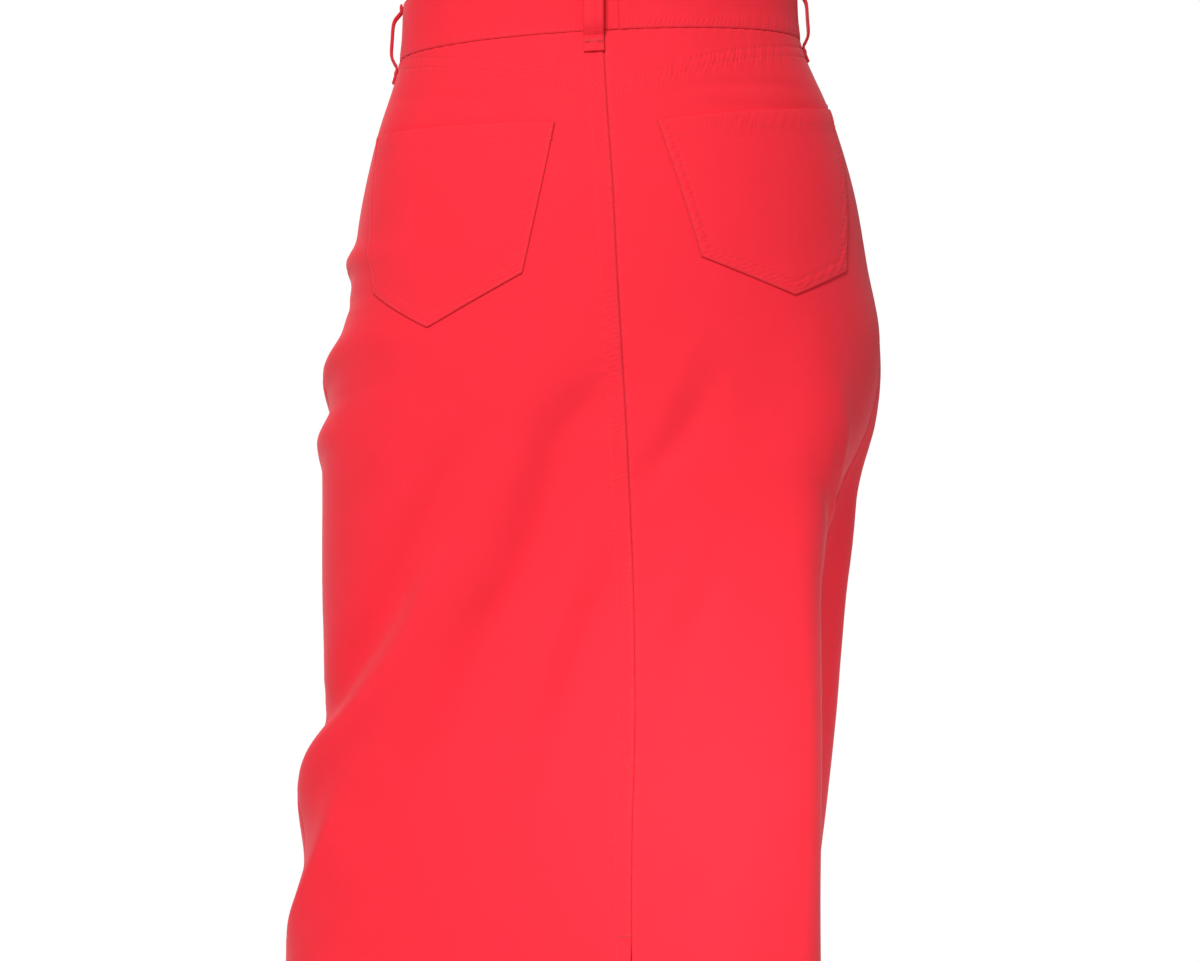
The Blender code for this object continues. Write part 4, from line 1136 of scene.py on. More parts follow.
class Seam:
    """Stitches gathered from many rows, joined into one mesh."""

    def __init__(self, name):
        self.name = name
        self.points, self.faces = stitch_shape()
        self.places = []

    def add(self, path, above):
        """Stitches along a path of dense points, with points above them to say which way is up."""
        sizes = bpy.context.scene.skirt_stitch
        steps = np.linalg.norm(np.diff(path, axis=0), axis=1)
        along = np.concatenate([[0], np.cumsum(steps)])
        pitch = sizes.pitch / MM
        half = sizes.length / MM / 2
        centres = np.arange(pitch / 2, along[-1] - half, pitch)

        def read(values, at):
            return np.stack([np.interp(at, along, values[:, axis]) for axis in range(3)], axis=1)

        middle = read(path, centres)
        run = read(path, centres + half) - read(path, centres - half)
        self.add_each(middle, run, read(above, centres) - middle)

    def add_each(self, middle, run, up):
        """Stitches at given middles, running and facing given ways."""
        run = run / np.linalg.norm(run, axis=1, keepdims=True)
        up = up - run * (up * run).sum(axis=1, keepdims=True)
        up /= np.linalg.norm(up, axis=1, keepdims=True)
        across = np.cross(up, run)
        turn = np.stack([run, across, up], axis=1)
        sunk = middle - up * THREAD_SINK
        self.places.append(self.points @ turn + sunk[:, None, :])

    def row(self, quarters, drops, lift):
        """A row at places on the creased cloth."""
        self.add(creased(quarters, drops, lift), creased(quarters, drops, lift + 1.0))

    def finish(self):
        """The joined mesh as a piece."""
        places = np.concatenate(self.places)
        count, size = places.shape[:2]
        faces = []
        for face in self.faces:
            corners = np.array(face)[None, :] + (np.arange(count) * size)[:, None]
            faces.extend(corners.tolist())
        own = np.stack([self.points[:, 0], np.arctan2(self.points[:, 1], self.points[:, 2])], 1)
        mesh = mesh_of(self.name, places.reshape(-1, 3), faces, np.tile(own, (count, 1)))
        mesh.shade_smooth()
        add_piece(mesh, "red thread")


def drop_steps(first, last):
    """Dense drops down a row, about 2 mm apart."""
    return np.linspace(first, last, round((last - first) / 2.0))


def sew_middle(seam):
    """Two rows down the centre back seam, a row beside each edge of the slit, and bar tacks."""
    for row in FELL_ROWS:
        for first, last, lift_of in ((1.0, 46.0, yoke_lift), (48.5, SLIT_DROP, back_panel_lift)):
            drops = drop_steps(first, last)
            quarters = beside(0, slit_edge(drops) + row, drops)
            seam.row(quarters, drops, lift_of(quarters, drops, "left"))
    for side in SIDES:
        drops = drop_steps(SLIT_DROP + 4, HEM_DROP - ROW_END)
        quarters = beside(0, sign_of(side) * (slit_edge(drops) + SLIT_ROW), drops)
        seam.row(quarters, drops, back_panel_lift(quarters, drops, side))
    bar_tack(seam, 3.3, FELL_END, 6.0, down=True)
    bar_tack(seam, 5.0, SLIT_DROP - 2, 9.0, down=False)


def bar_tack(seam, across, drop, length, down):
    """A short dense bar of crosswise stitches on the left back panel."""
    spots = np.arange(-length / 2, length / 2, TACK_STEP)
    drops = drop + spots if down else np.full(len(spots), drop)
    away = np.full(len(spots), across) if down else across + spots
    quarters = beside(0, away, drops)
    lift = back_panel_lift(quarters, drops, "left") + 0.25
    middle = creased(quarters, drops, lift)
    above = creased(quarters, drops, lift + 1.0)
    if down:
        crosswise = creased(beside(0, away + 1, drops), drops, lift)
    else:
        crosswise = creased(quarters, drops + 1.0, lift)
    seam.add_each(middle, crosswise - middle, above - middle)


def sew_yokes(seam):
    """Two rows over each yoke's lower seam."""
    for side in SIDES:
        quarters = sign_of(side) * np.linspace(*YOKE_ENDS, 160)
        depth = yoke_depth(np.abs(quarters), side)
        for row in YOKE_STITCH_ROWS:
            drops = np.maximum(depth - row, 1.0)
            seam.row(quarters, drops, yoke_lift(quarters, drops, side))


def inset_line(corners, inset):
    """Corners of an open line moved inwards, to the right of its run, by a distance."""
    corners = np.asarray(corners, float)
    runs = np.diff(corners, axis=0)
    runs /= np.linalg.norm(runs, axis=1, keepdims=True)
    normals = np.stack([-runs[:, 1], runs[:, 0]], axis=1)
    moved = [corners[0] + normals[0] * inset]
    for before, after, corner in zip(normals[:-1], normals[1:], corners[1:-1], strict=True):
        bisector = before + after
        bisector /= np.linalg.norm(bisector)
        moved.append(corner + bisector * inset / (bisector @ after))
    moved.append(corners[-1] + normals[-1] * inset)
    return np.array(moved)


def dense_line(corners, step=1.5):
    """Points along an open line, about a step apart."""
    parts = []
    for start, end in zip(corners[:-1], corners[1:], strict=True):
        count = max(2, round(np.linalg.norm(end - start) / step))
        parts.append(start + (end - start) * np.linspace(0, 1, count, endpoint=False)[:, None])
    return np.concatenate([*parts, corners[-1:]])


def sew_pockets(seam):
    """Two rows round the sewn edges of each pocket and one along its hem."""
    for side in SIDES:
        sewn = pocket_line(side, POCKET_SEWN)
        lines = [inset_line(sewn, row) for row in POCKET_EDGE_ROWS]
        lines.append(inset_line(pocket_line(side, POCKET_TOP), POCKET_HEM_ROW))
        for line in lines:
            across, drops = dense_line(line).T
            quarters = sign_of(side) * across / POCKET_QUARTER
            seam.row(quarters, drops, pocket_lift(quarters, drops, side))


def sew_band(seam):
    """A row along each edge of the waistband and down its buttoned end."""
    first = beside(2, -BAND_UNDER + ROW_END, 0.0)
    last = beside(2, BAND_OVER - ROW_END, 0.0) + 4
    rows = [(np.linspace(first, last, 420), np.full(420, -row)) for row in BAND_STITCH_ROWS]
    drops = drop_steps(-BAND_HEIGHT + 2.5, -2.5)
    rows.append((np.full(len(drops), last), drops))
    for quarters, drops in rows:
        lift = band_lift(quarters, drops)
        seam.add(cloth(quarters, drops, lift), cloth(quarters, drops, lift + 1.0))


def sew_loops(seam):
    """Two rows down each belt loop and a bar tack across each of its ends."""
    for loop in BELT_LOOPS:
        for across in (-LOOP_STITCH, LOOP_STITCH):
            path = loop_surface(loop, across, LOOP_CLOTH - 0.2)[:, 0]
            above = loop_surface(loop, across, LOOP_CLOTH + 0.8)[:, 0]
            seam.add(path[LOOP_SEWN_ROWS], above[LOOP_SEWN_ROWS])
        spots = np.arange(-LOOP_WIDTH / 2 + 1.2, LOOP_WIDTH / 2 - 1.0, LOOP_TACK_STEP)
        middle = loop_surface(loop, spots, LOOP_CLOTH + LOOP_TACK_LIFT)
        above = loop_surface(loop, spots, LOOP_CLOTH + LOOP_TACK_LIFT + 1.0)
        for row in LOOP_TACK_ROWS:
            run = middle[row + 1] - middle[row - 1]
            seam.add_each(middle[row], run, above[row] - middle[row])


def sew_hem(seam):
    """A row round the hem."""
    drops = np.full(ROW_POINTS, HEM_DROP - HEM_ROW)
    for side in SIDES:
        edge = slit_edge(drops) / quarter_length(FIRST_QUARTERS[side], drops)
        quarters = sign_of(side) * (edge + (1 - edge) * np.linspace(0, 0.998, ROW_POINTS))
        seam.row(quarters, drops, back_panel_lift(quarters, drops, side))
        quarters = FRONT_STARTS[side] + np.linspace(*HEM_ENDS, ROW_POINTS)
        seam.row(quarters, drops, front_panel_lift(quarters, drops, side))


def sew_front(seam):
    """The fly's curved rows, and two rows down the centre front below it."""
    for inset in FLY_INSETS:
        across, drops = fly_line(inset).T
        quarters = beside(2, across, drops)
        seam.row(quarters, drops, front_panel_lift(quarters, drops, "left"))
    for row, first in zip(FRONT_ROWS, (1.0, FLY_LENGTH - 2.0), strict=True):
        drops = drop_steps(first, HEM_DROP - ROW_END)
        quarters = beside(2, np.full(len(drops), -row), drops)
        seam.row(quarters, drops, front_panel_lift(quarters, drops, "left"))


def sew_buttonhole(seam):
    """Close crosswise stitches round the slot under the button."""
    turn = np.linspace(0, 2 * pi, BUTTONHOLE_STITCHES, endpoint=False)
    along = np.sign(np.cos(turn)) * np.abs(np.cos(turn)) ** 0.6 * BUTTONHOLE_HALF
    up = np.sign(np.sin(turn)) * np.abs(np.sin(turn)) ** 0.8 * BUTTONHOLE_BEAD
    drops = -BAND_HEIGHT / 2 - up
    quarters = beside(2, along + BUTTONHOLE_MIDDLE, 0.0) + 4
    lift = band_lift(quarters, drops) + 0.2
    middle = cloth(quarters, drops, lift)
    slot = beside(2, BUTTONHOLE_MIDDLE + 0.8 * along, 0.0) + 4
    centre = cloth(slot, -BAND_HEIGHT / 2, lift)
    above = cloth(quarters, drops, lift + 1.0)
    seam.add_each(middle, middle - centre, above - middle)


STITCHING = {
    "middle": (sew_middle,),
    "yokes": (sew_yokes,),
    "pockets": (sew_pockets,),
    "waistband": (sew_band, sew_buttonhole),
    "loops": (sew_loops,),
    "hem": (sew_hem,),
    "front": (sew_front,),
}


# ---------------------------------------------------------------- zip and button

# Strips behind the fly: from and to, across from the centre front, length, lift and cloth
FlyStrip = namedtuple("FlyStrip", "node first last length lift thickness finish")
FLY_STRIPS = (
    FlyStrip("fly_zip", -20.0, 6.0, FLY_LENGTH, TAPE_LIFT, TAPE_CLOTH, "red tape"),
    FlyStrip("fly_shield", -34.0, 12.0, SHIELD_LENGTH, SHIELD_LIFT, SHIELD_CLOTH, "red denim"),
)
STRIP_TOP = 2.0  # drop of a strip's upper end
STRIP_ROW_STEP = 3.0
STRIP_COLUMN_STEP = 1.6
TOOTH = (2.6, 1.0, 1.1)
TOOTH_PITCH = 1.9
TOOTH_SIDE = 0.9  # from the middle of the chain to a tooth's
TOOTH_STAND = 0.6  # from the tape's outer face to a tooth's middle
TEETH_TOP = 18.0  # drop of the uppermost tooth
TEETH_LENGTH = FLY_LENGTH - 24
ZIP_MIDDLE = -7.0
SLIDER = (8.6, 10.0, 1.4)
SLIDER_DROP = 12.0
SLIDER_LIFT = -2.55
PULL_TAB = (5.6, 15.0, 0.9)
PULL_TAB_PLACE = (0.0, -12.0, 0.1)
BUTTON_ACROSS = 17.0
BUTTON_RISE = 3.4
BUTTON_STAND = 0.4  # under the button
# The button's face from its rim to its middle: width of each step, and how far it rises
BUTTON_STEPS = ((1.3, 0), (0.7, -0.7), (1.4, 0), (0.6, 0.45), (1.6, 0.25), (1.4, 0.12))
BEADS = 26
BEAD_RADIUS = 0.42
BEAD_INSET = 2.75  # from the button's rim to the middle of each bead
BEAD_SINK = 0.65
BEVEL_ANGLE = radians(35)  # edges sharper than this are bevelled
SHARP_METAL = radians(40)
SHARP_TOOTH = radians(30)


def make_strip(node, first, last, length, lift, thickness, finish):
    """A strip behind the fly, between two distances from the centre front."""
    rows = np.linspace(STRIP_TOP, length, round(length / STRIP_ROW_STEP))
    columns = np.linspace(first, last, round((last - first) / STRIP_COLUMN_STEP))
    across, drops = np.meshgrid(columns, rows)
    quarters = beside(2, across, drops)
    edge = np.minimum(across - first, last - across)
    shape = rounded_edge(edge) * 0.4 + 0.12 * puckers(drops, pitch=11.0, seed=17.0)
    outer = cloth(quarters, drops, lift + shape * 0.5)
    inner = cloth(quarters, drops, lift - thickness)
    flat = np.stack([across, -drops], axis=-1)
    add_sheet(node, outer, inner, flat, edge, finish=finish)


def edit_new(kind, **sizes):
    """Add a primitive on its own and go into edit mode with all of it selected."""
    bpy.ops.object.select_all(action="DESELECT")
    getattr(bpy.ops.mesh, f"primitive_{kind}_add")(**sizes)
    piece = bpy.context.object
    bpy.ops.object.mode_set(mode="EDIT")
    bpy.ops.mesh.select_mode(type="FACE")
    return piece


def pick_faces(piece, wanted):
    """Select only the faces whose normal and middle pass a test, in edit mode."""
    bpy.ops.mesh.select_all(action="DESELECT")
    bpy.ops.object.mode_set(mode="OBJECT")
    for face in piece.data.polygons:
        face.select = wanted(face.normal, face.center)
    bpy.ops.object.mode_set(mode="EDIT")


def bevelled(piece, width, segments=2):
    """Back to object mode, with a bevel over the sharp edges applied."""
    bpy.ops.object.mode_set(mode="OBJECT")
    modifier = piece.modifiers.new("edges", "BEVEL")
    modifier.width = width
    modifier.segments = segments
    modifier.limit_method = "ANGLE"
    modifier.angle_limit = BEVEL_ANGLE
    bpy.ops.object.modifier_apply(modifier=modifier.name)
    bpy.ops.object.shade_smooth_by_angle(angle=SHARP_METAL)


def frame_at(across, drop, lift):
    """Where a small hard piece sits on the front: its middle, and its X across and Z outwards."""
    middle, above = cloth(beside(2, across, drop), drop, np.array([lift, lift + 5.0]))
    beyond = cloth(beside(2, across + 2.0, drop), drop, lift)
    out = Vector(above - middle).normalized()
    along = Vector(beyond - middle)
    along = (along - out * along.dot(out)).normalized()
    turn = Matrix((along, out.cross(along), out)).transposed().to_4x4()
    return Matrix.Translation(Vector(middle) * MM) @ turn


def settle(piece, name, matrix, *nodes):
    """Put a finished metal piece in its place by moving its mesh, and hand it to the frame."""
    mesh = piece.data
    mesh.transform(matrix)
    mesh.name = name
    bpy.data.objects.remove(piece, do_unlink=True)
    add_piece(mesh, "dull nickel", *nodes)


def joined(parts):
    """One object from several."""
    bpy.ops.object.select_all(action="DESELECT")
    for part in parts:
        part.select_set(True)
    bpy.context.view_layer.objects.active = parts[0]
    bpy.ops.object.join()
    return parts[0]


def in_metres(sizes):
    return tuple(size * MM for size in sizes)


def sink_face(thickness, depth):
    """Inset the selected face and sink its middle."""
    bpy.ops.mesh.inset(thickness=thickness * MM, depth=0)
    bpy.ops.mesh.extrude_region_move(TRANSFORM_OT_translate={"value": (0, 0, -depth * MM)})


def button_place():
    """Where the middle of the button sits."""
    return frame_at(0.0, -BAND_HEIGHT / 2, BAND_OUT + BUTTON_STAND + BUTTON_RISE / 2)


def make_button():
    """A round shank button: a domed middle and a hollow for its beads inside a rolled rim."""
    radius = BUTTON_ACROSS / 2 * MM
    piece = edit_new("cylinder", vertices=48, radius=radius, depth=BUTTON_RISE * MM)
    pick_faces(piece, lambda normal, centre: normal.z > 0.9 and centre.z > 0)
    for width, rise in BUTTON_STEPS:
        bpy.ops.mesh.inset(thickness=width * MM, depth=rise * MM)
    bevelled(piece, 0.22 * MM)
    settle(piece, "metal_waist_button", button_place(), "waist_button")


def make_beads():
    """A ring of small beads in the hollow of the button."""
    beads = []
    ring = (BUTTON_ACROSS / 2 - BEAD_INSET) * MM
    height = BUTTON_RISE / 2 * MM - BEAD_SINK * MM
    for number in range(BEADS):
        turn = 2 * pi * number / BEADS
        bpy.ops.mesh.primitive_uv_sphere_add(segments=8, ring_count=6, radius=BEAD_RADIUS * MM)
        bead = bpy.context.object
        place = Vector((np.cos(turn) * ring, np.sin(turn) * ring, height))
        bead.data.transform(Matrix.Translation(place))
        beads.append(bead)
    whole = joined(beads)
    bpy.ops.object.shade_smooth()
    settle(whole, "metal_button_beads", button_place())


def make_slider():
    """The zip's slider with its pull tab hanging flat below it."""
    body = edit_new("cube", size=1.0, scale=in_metres(SLIDER))
    pick_faces(body, lambda normal, centre: normal.y < -0.9)
    bpy.ops.transform.resize(value=(0.72, 1, 0.8))
    pick_faces(body, lambda normal, centre: normal.z > 0.9)
    sink_face(1.2, 0.3)
    bevelled(body, 0.3 * MM)
    tab = edit_new("cube", size=1.0, scale=in_metres(PULL_TAB))
    tab.data.transform(Matrix.Translation(in_metres(PULL_TAB_PLACE)))
    pick_faces(tab, lambda normal, centre: normal.z > 0.9)
    sink_face(1.1, 0.22)
    bevelled(tab, 0.25 * MM)
    place = frame_at(ZIP_MIDDLE, SLIDER_DROP, SLIDER_LIFT)
    settle(joined([body, tab]), "metal_zip_slider", place, "zip_slider")


def make_teeth():
    """The closed zip's teeth: one tooth shaped once and copied down both sides of the chain."""
    tooth = edit_new("cube", size=1.0, scale=in_metres(TOOTH))
    pick_faces(tooth, lambda normal, centre: normal.x > 0.9)
    bpy.ops.transform.resize(value=(1, 1.25, 0.85))
    bevelled(tooth, 0.14 * MM, 1)
    points = np.array([vert.co[:] for vert in tooth.data.vertices]) / MM
    faces = [tuple(face.vertices) for face in tooth.data.polygons]
    bpy.data.objects.remove(tooth, do_unlink=True)
    places = []
    for number in range(int(TEETH_LENGTH / TOOTH_PITCH)):
        side = 1 if number % 2 else -1
        drop = TEETH_TOP + number * TOOTH_PITCH
        place = frame_at(ZIP_MIDDLE - side * TOOTH_SIDE, drop, TAPE_LIFT + TOOTH_STAND)
        turned = np.array(place.to_3x3()) * (side, side, 1)
        places.append(points @ turned.T + np.array(place.translation) / MM)
    size = len(points)
    all_faces = [[c + n * size for c in face] for n in range(len(places)) for face in faces]
    mesh = bpy.data.meshes.new("metal_zip_teeth")
    mesh.from_pydata((np.concatenate(places) * MM).tolist(), [], all_faces)
    mesh.set_sharp_from_angle(angle=SHARP_TOOTH)
    add_piece(mesh, "dull nickel")


# ---------------------------------------------------------------- materials

WEAVE_HEIGHT = 0.042  # ribs of the twill
RIB_HEIGHT = 0.07  # ribs that stitches draw up
RIB_PITCH = 0.0033  # and their distance, in metres as in a flat map
TWIST_PITCH = 0.0007  # turns of the thread
TWILL_SLANT = 0.55  # how far each kind of rib runs sideways for each unit along
RIB_SLANT = 0.35
TWIST_SLANT = 0.35
THREADS_TO_A_RIB = 1.7  # threads that cross the twill's ribs
SLUB_SCALE = 900.0  # of the thread's unevenness


def fill(tree, made, inputs):
    """Give a node's inputs their values or links."""
    for name, value in inputs.items():
        if isinstance(value, bpy.types.NodeSocket):
            tree.links.new(value, made.inputs[name])
        else:
            made.inputs[name].default_value = value
    return made


def node(tree, kind, inputs, **settings):
    """A node with its settings, and values or links for its inputs."""
    made = tree.nodes.new(kind)
    for name, value in settings.items():
        setattr(made, name, value)
    return fill(tree, made, inputs)


def maths(tree, operation, *values):
    """The result of a Math node."""
    return node(tree, "ShaderNodeMath", dict(enumerate(values)), operation=operation).outputs[0]


def mixed(tree, factor, first, second, blend="MIX"):
    """The colour between two colours."""
    inputs = {0: factor, 6: first, 7: second}
    return node(tree, "ShaderNodeMix", inputs, data_type="RGBA", blend_type=blend).outputs[2]


def noise(tree, place, scale, detail=2.0):
    inputs = {"Vector": place, "Scale": scale, "Detail": detail}
    return node(tree, "ShaderNodeTexNoise", inputs).outputs["Fac"]


def ranged(tree, value, **ends):
    """A value taken from one range to another. Ends that aren't given are 0 and 1."""
    inputs = {name.replace("_", " ").title(): end for name, end in ends.items()}
    return node(tree, "ShaderNodeMapRange", {"Value": value, **inputs}).outputs["Result"]


def bump(tree, height, strength, distance):
    inputs = {"Height": height, "Strength": strength, "Distance": distance}
    return node(tree, "ShaderNodeBump", inputs).outputs["Normal"]


def split(tree, place):
    """The X, Y and Z of a place."""
    return node(tree, "ShaderNodeSeparateXYZ", {0: place}).outputs


def mask(tree, label):
    """A mask that the piece's mesh carries."""
    return node(tree, "ShaderNodeAttribute", {}, attribute_name=label).outputs["Fac"]


def flat_place(tree):
    """The piece's own flat map, in metres."""
    return node(tree, "ShaderNodeUVMap", {}, uv_map="flat").outputs["UV"]


def object_place(tree):
    return node(tree, "ShaderNodeTexCoord", {}).outputs["Object"]


def twill(group, given):
    """Diagonal ribs of a twill weave, broken by its threads. Height and shade run from 0 to 1."""
    parts = split(group, given["Place"])
    turns = maths(group, "DIVIDE", 2 * pi, given["Pitch"])
    slanted = maths(group, "MULTIPLY_ADD", parts["Y"], TWILL_SLANT, parts["X"])
    rib = maths(group, "SINE", maths(group, "MULTIPLY", slanted, turns))
    cross_turns = maths(group, "MULTIPLY", turns, THREADS_TO_A_RIB)
    thread = maths(group, "SINE", maths(group, "MULTIPLY", parts["Y"], cross_turns))
    weave = maths(group, "MULTIPLY_ADD", rib, 0.3, 0.5)
    weave = maths(group, "MULTIPLY_ADD", thread, 0.12, weave)
    uneven = maths(group, "SUBTRACT", noise(group, given["Place"], SLUB_SCALE), 0.5)
    height = maths(group, "ADD", weave, maths(group, "MULTIPLY", uneven, given["Slub"]))
    shade = maths(group, "MAXIMUM", maths(group, "MINIMUM", height, 1.0), 0.0)
    return {"Height": height, "Shade": shade}


def uneven_tone(group, given):
    """Slow changes of tone over a surface, around 0.5."""
    coarse = noise(group, given["Place"], given["Coarse"])
    fine = noise(group, given["Place"], given["Fine"], 4.0)
    coarse_share = maths(group, "MULTIPLY", coarse, 0.6)
    return {"Tone": maths(group, "MULTIPLY_ADD", fine, 0.4, coarse_share)}


def edge_wear(group, given):
    """A patchy mask of wear from a mask along edges."""
    spots = noise(group, given["Place"], given["Scale"], 3.0)
    patches = ranged(group, spots, from_min=0.35, from_max=0.7)
    return {"Mask": maths(group, "MULTIPLY", patches, given["Edge"])}


def drawn_up_ribs(group, given):
    """Fine, uneven ribs that stitches draw up in the cloth, across their rows. Millimetres."""
    parts = split(group, given["Place"])
    drift = noise(group, given["Place"], 55.0)
    total = 0.0
    for along, across, share in (("X", "Y", "Down"), ("Y", "X", "Round")):
        place = maths(group, "MULTIPLY_ADD", parts[across], RIB_SLANT, parts[along])
        wander = maths(group, "MULTIPLY", drift, 14.0)
        turn = maths(group, "MULTIPLY_ADD", place, 2 * pi / RIB_PITCH, wander)
        wave = maths(group, "MULTIPLY", maths(group, "SINE", turn), given[share])
        uneven = maths(group, "MULTIPLY", wave, drift)
        total = maths(group, "MULTIPLY_ADD", uneven, 2 * RIB_HEIGHT, total)
    return {"Height": total}


# Node groups: what works them out, their inputs beside the place, and their outputs
GROUPS = {
    "Twill weave": (twill, {"Pitch": 0.0008, "Slub": 0.4}, ("Height", "Shade")),
    "Uneven tone": (uneven_tone, {"Coarse": 9.0, "Fine": 140.0}, ("Tone",)),
    "Edge wear": (edge_wear, {"Edge": 0.0, "Scale": 240.0}, ("Mask",)),
    "Drawn-up ribs": (drawn_up_ribs, {"Down": 0.0, "Round": 0.0}, ("Height",)),
}


def new_group(name):
    """A node group from its row in GROUPS. All its inputs but the place are numbers."""
    work_out, values, outputs = GROUPS[name]
    group = bpy.data.node_groups.new(name, "ShaderNodeTree")
    new_socket = group.interface.new_socket
    new_socket("Place", in_out="INPUT", socket_type="NodeSocketVector")
    for label, value in values.items():
        socket = new_socket(label, in_out="INPUT", socket_type="NodeSocketFloat")
        socket.default_value = value
    for label in outputs:
        new_socket(label, in_out="OUTPUT", socket_type="NodeSocketFloat")
    given = group.nodes.new("NodeGroupInput").outputs
    fill(group, group.nodes.new("NodeGroupOutput"), work_out(group, given))
    return group


def placed(tree, name, place, **values):
    """The outputs of a node group in a material, with its own values."""
    group = bpy.data.node_groups.get(name) or new_group(name)
    inputs = {label.title(): value for label, value in values.items()}
    return node(tree, "ShaderNodeGroup", {"Place": place, **inputs}, node_tree=group).outputs


def tone_of(tree, **values):
    return placed(tree, "Uneven tone", object_place(tree), **values)["Tone"]


def red_denim(tree):
    """Soft red twill: a fine diagonal weave, an even dye, paler rubbed edges and painted shade
    where the edges turn under.
    """
    sizes = bpy.context.scene.skirt_cloth
    flat = flat_place(tree)
    weave = placed(tree, "Twill weave", flat, pitch=sizes.weave_pitch, slub=0.5)
    tone = ranged(tree, tone_of(tree, coarse=26.0), from_min=0.36, from_max=0.64)
    worn = placed(tree, "Edge wear", object_place(tree), edge=mask(tree, "near_edge"))["Mask"]
    dye = mixed(tree, tone, (*sizes.shade_colour, 1), (*sizes.denim_colour, 1))
    depth = ranged(tree, weave["Shade"], to_min=0.93)
    shade = node(tree, "ShaderNodeCombineColor", {0: depth, 1: depth, 2: depth}).outputs[0]
    woven = mixed(tree, 1.0, dye, shade, "MULTIPLY")
    rubbed = mixed(tree, maths(tree, "MULTIPLY", worn, 0.15), woven, (*sizes.worn_colour, 1))
    # Painted shade: the strip where the edges turn under is mixed towards a dark colour, standing
    # in for the shade there.
    turned = maths(tree, "MULTIPLY", mask(tree, "turned_edge"), sizes.edge_shade_share)
    down, across = mask(tree, "ribs_down"), mask(tree, "ribs_round")
    ribs = placed(tree, "Drawn-up ribs", flat, down=down, round=across)["Height"]
    height = maths(tree, "MULTIPLY_ADD", weave["Height"], WEAVE_HEIGHT, ribs)
    return {
        "Base Color": mixed(tree, turned, rubbed, (*sizes.edge_shade_colour, 1)),
        "Roughness": ranged(tree, tone, to_min=0.78, to_max=0.92),
        "Specular IOR Level": 0.22,
        "Sheen Weight": 0.16,
        "Sheen Roughness": 0.42,
        "Sheen Tint": (1.0, 0.62, 0.66, 1),
        "Normal": bump(tree, height, 1.0, MM),
    }


def red_thread(tree):
    """Red sewing thread, twisted and a little brighter than the cloth."""
    colour = bpy.context.scene.skirt_stitch.colour
    parts = split(tree, flat_place(tree))
    slanted = maths(tree, "MULTIPLY_ADD", parts["Y"], TWIST_SLANT, parts["X"])
    twist = maths(tree, "SINE", maths(tree, "MULTIPLY", slanted, 2 * pi / TWIST_PITCH))
    dark = tuple(value * 0.8 for value in colour)
    return {
        "Base Color": mixed(tree, tone_of(tree, coarse=60.0), (*dark, 1), (*colour, 1)),
        "Roughness": 0.55,
        "Specular IOR Level": 0.35,
        "Sheen Weight": 0.1,
        "Normal": bump(tree, twist, 0.4, 0.00008),
    }


def red_tape(tree):
    """The zip's woven tape, a deeper red than the cloth."""
    cloth_colour = bpy.context.scene.skirt_cloth.denim_colour
    weave = placed(tree, "Twill weave", flat_place(tree), pitch=0.0012, slub=0.2)["Height"]
    deep, base = (tuple(value * share for value in cloth_colour) for share in (0.58, 0.72))
    return {
        "Base Color": mixed(tree, tone_of(tree, coarse=20.0), (*deep, 1), (*base, 1)),
        "Roughness": 0.8,
        "Normal": bump(tree, weave, 0.5, 0.0002),
    }


def dull_nickel(tree):
    """Dull nickel plating, brushed and rubbed."""
    tone = tone_of(tree, coarse=90.0, fine=900.0)
    return {
        "Base Color": mixed(tree, tone, (0.46, 0.44, 0.42, 1), (0.74, 0.72, 0.69, 1)),
        "Metallic": 1.0,
        "Roughness": ranged(tree, tone, to_min=0.22, to_max=0.45),
        "Normal": bump(tree, tone, 0.15, 0.0001),
    }


def studio_floor(tree):
    """Smooth white studio paper."""
    tone = tone_of(tree, coarse=3.0, fine=40.0)
    return {
        "Base Color": mixed(tree, tone, (0.86, 0.86, 0.86, 1), (0.9, 0.9, 0.9, 1)),
        "Roughness": 0.9,
    }


FINISHES = {
    "red denim": red_denim,
    "red thread": red_thread,
    "red tape": red_tape,
    "dull nickel": dull_nickel,
    "studio floor": studio_floor,
}


def material_of(finish):
    """The material of a finish, made when it is first asked for."""
    material = bpy.data.materials.get(finish)
    if material is None:
        material = bpy.data.materials.new(finish)
        material.use_nodes = True
        tree = material.node_tree
        fill(tree, tree.nodes["Principled BSDF"], FINISHES[finish](tree))
    return material


# ---------------------------------------------------------------- stage

CAMERA_LEVEL = -0.2827  # the camera looks level at this height
SENSOR = 36.0
FLOOR_RADIUS = 3.6
WHITE = (1, 1, 1, 1)
SKIRT_MIDDLE = (0, 0, -0.45)

# Lights: place, what it points at, size, and how wide its light spreads in degrees
StudioLight = namedtuple("StudioLight", "name power place aim size spread")
STUDIO_LIGHTS = (
    StudioLight("main light", "key_power", (1.45, 4.95, 4.2), SKIRT_MIDDLE, 2.2, 180.0),
    StudioLight("low light", "low_power", (-0.3, 3.0, -0.75), (-0.13, 0.1, -0.48), 0.3, 9.0),
    StudioLight("front light", "front_power", (0.8, -3.2, 0.9), SKIRT_MIDDLE, 1.8, 180.0),
)


def add_light(light, power):
    """A soft square light that points at a place."""
    data = bpy.data.lights.new(light.name, "AREA")
    data.size = light.size
    data.energy = power
    data.spread = radians(light.spread)
    lamp = bpy.data.objects.new(light.name, data)
    lamp.location = light.place
    run = Vector(light.aim) - Vector(light.place)
    lamp.rotation_euler = run.to_track_quat("-Z", "Y").to_euler()
    bpy.context.scene.collection.objects.link(lamp)


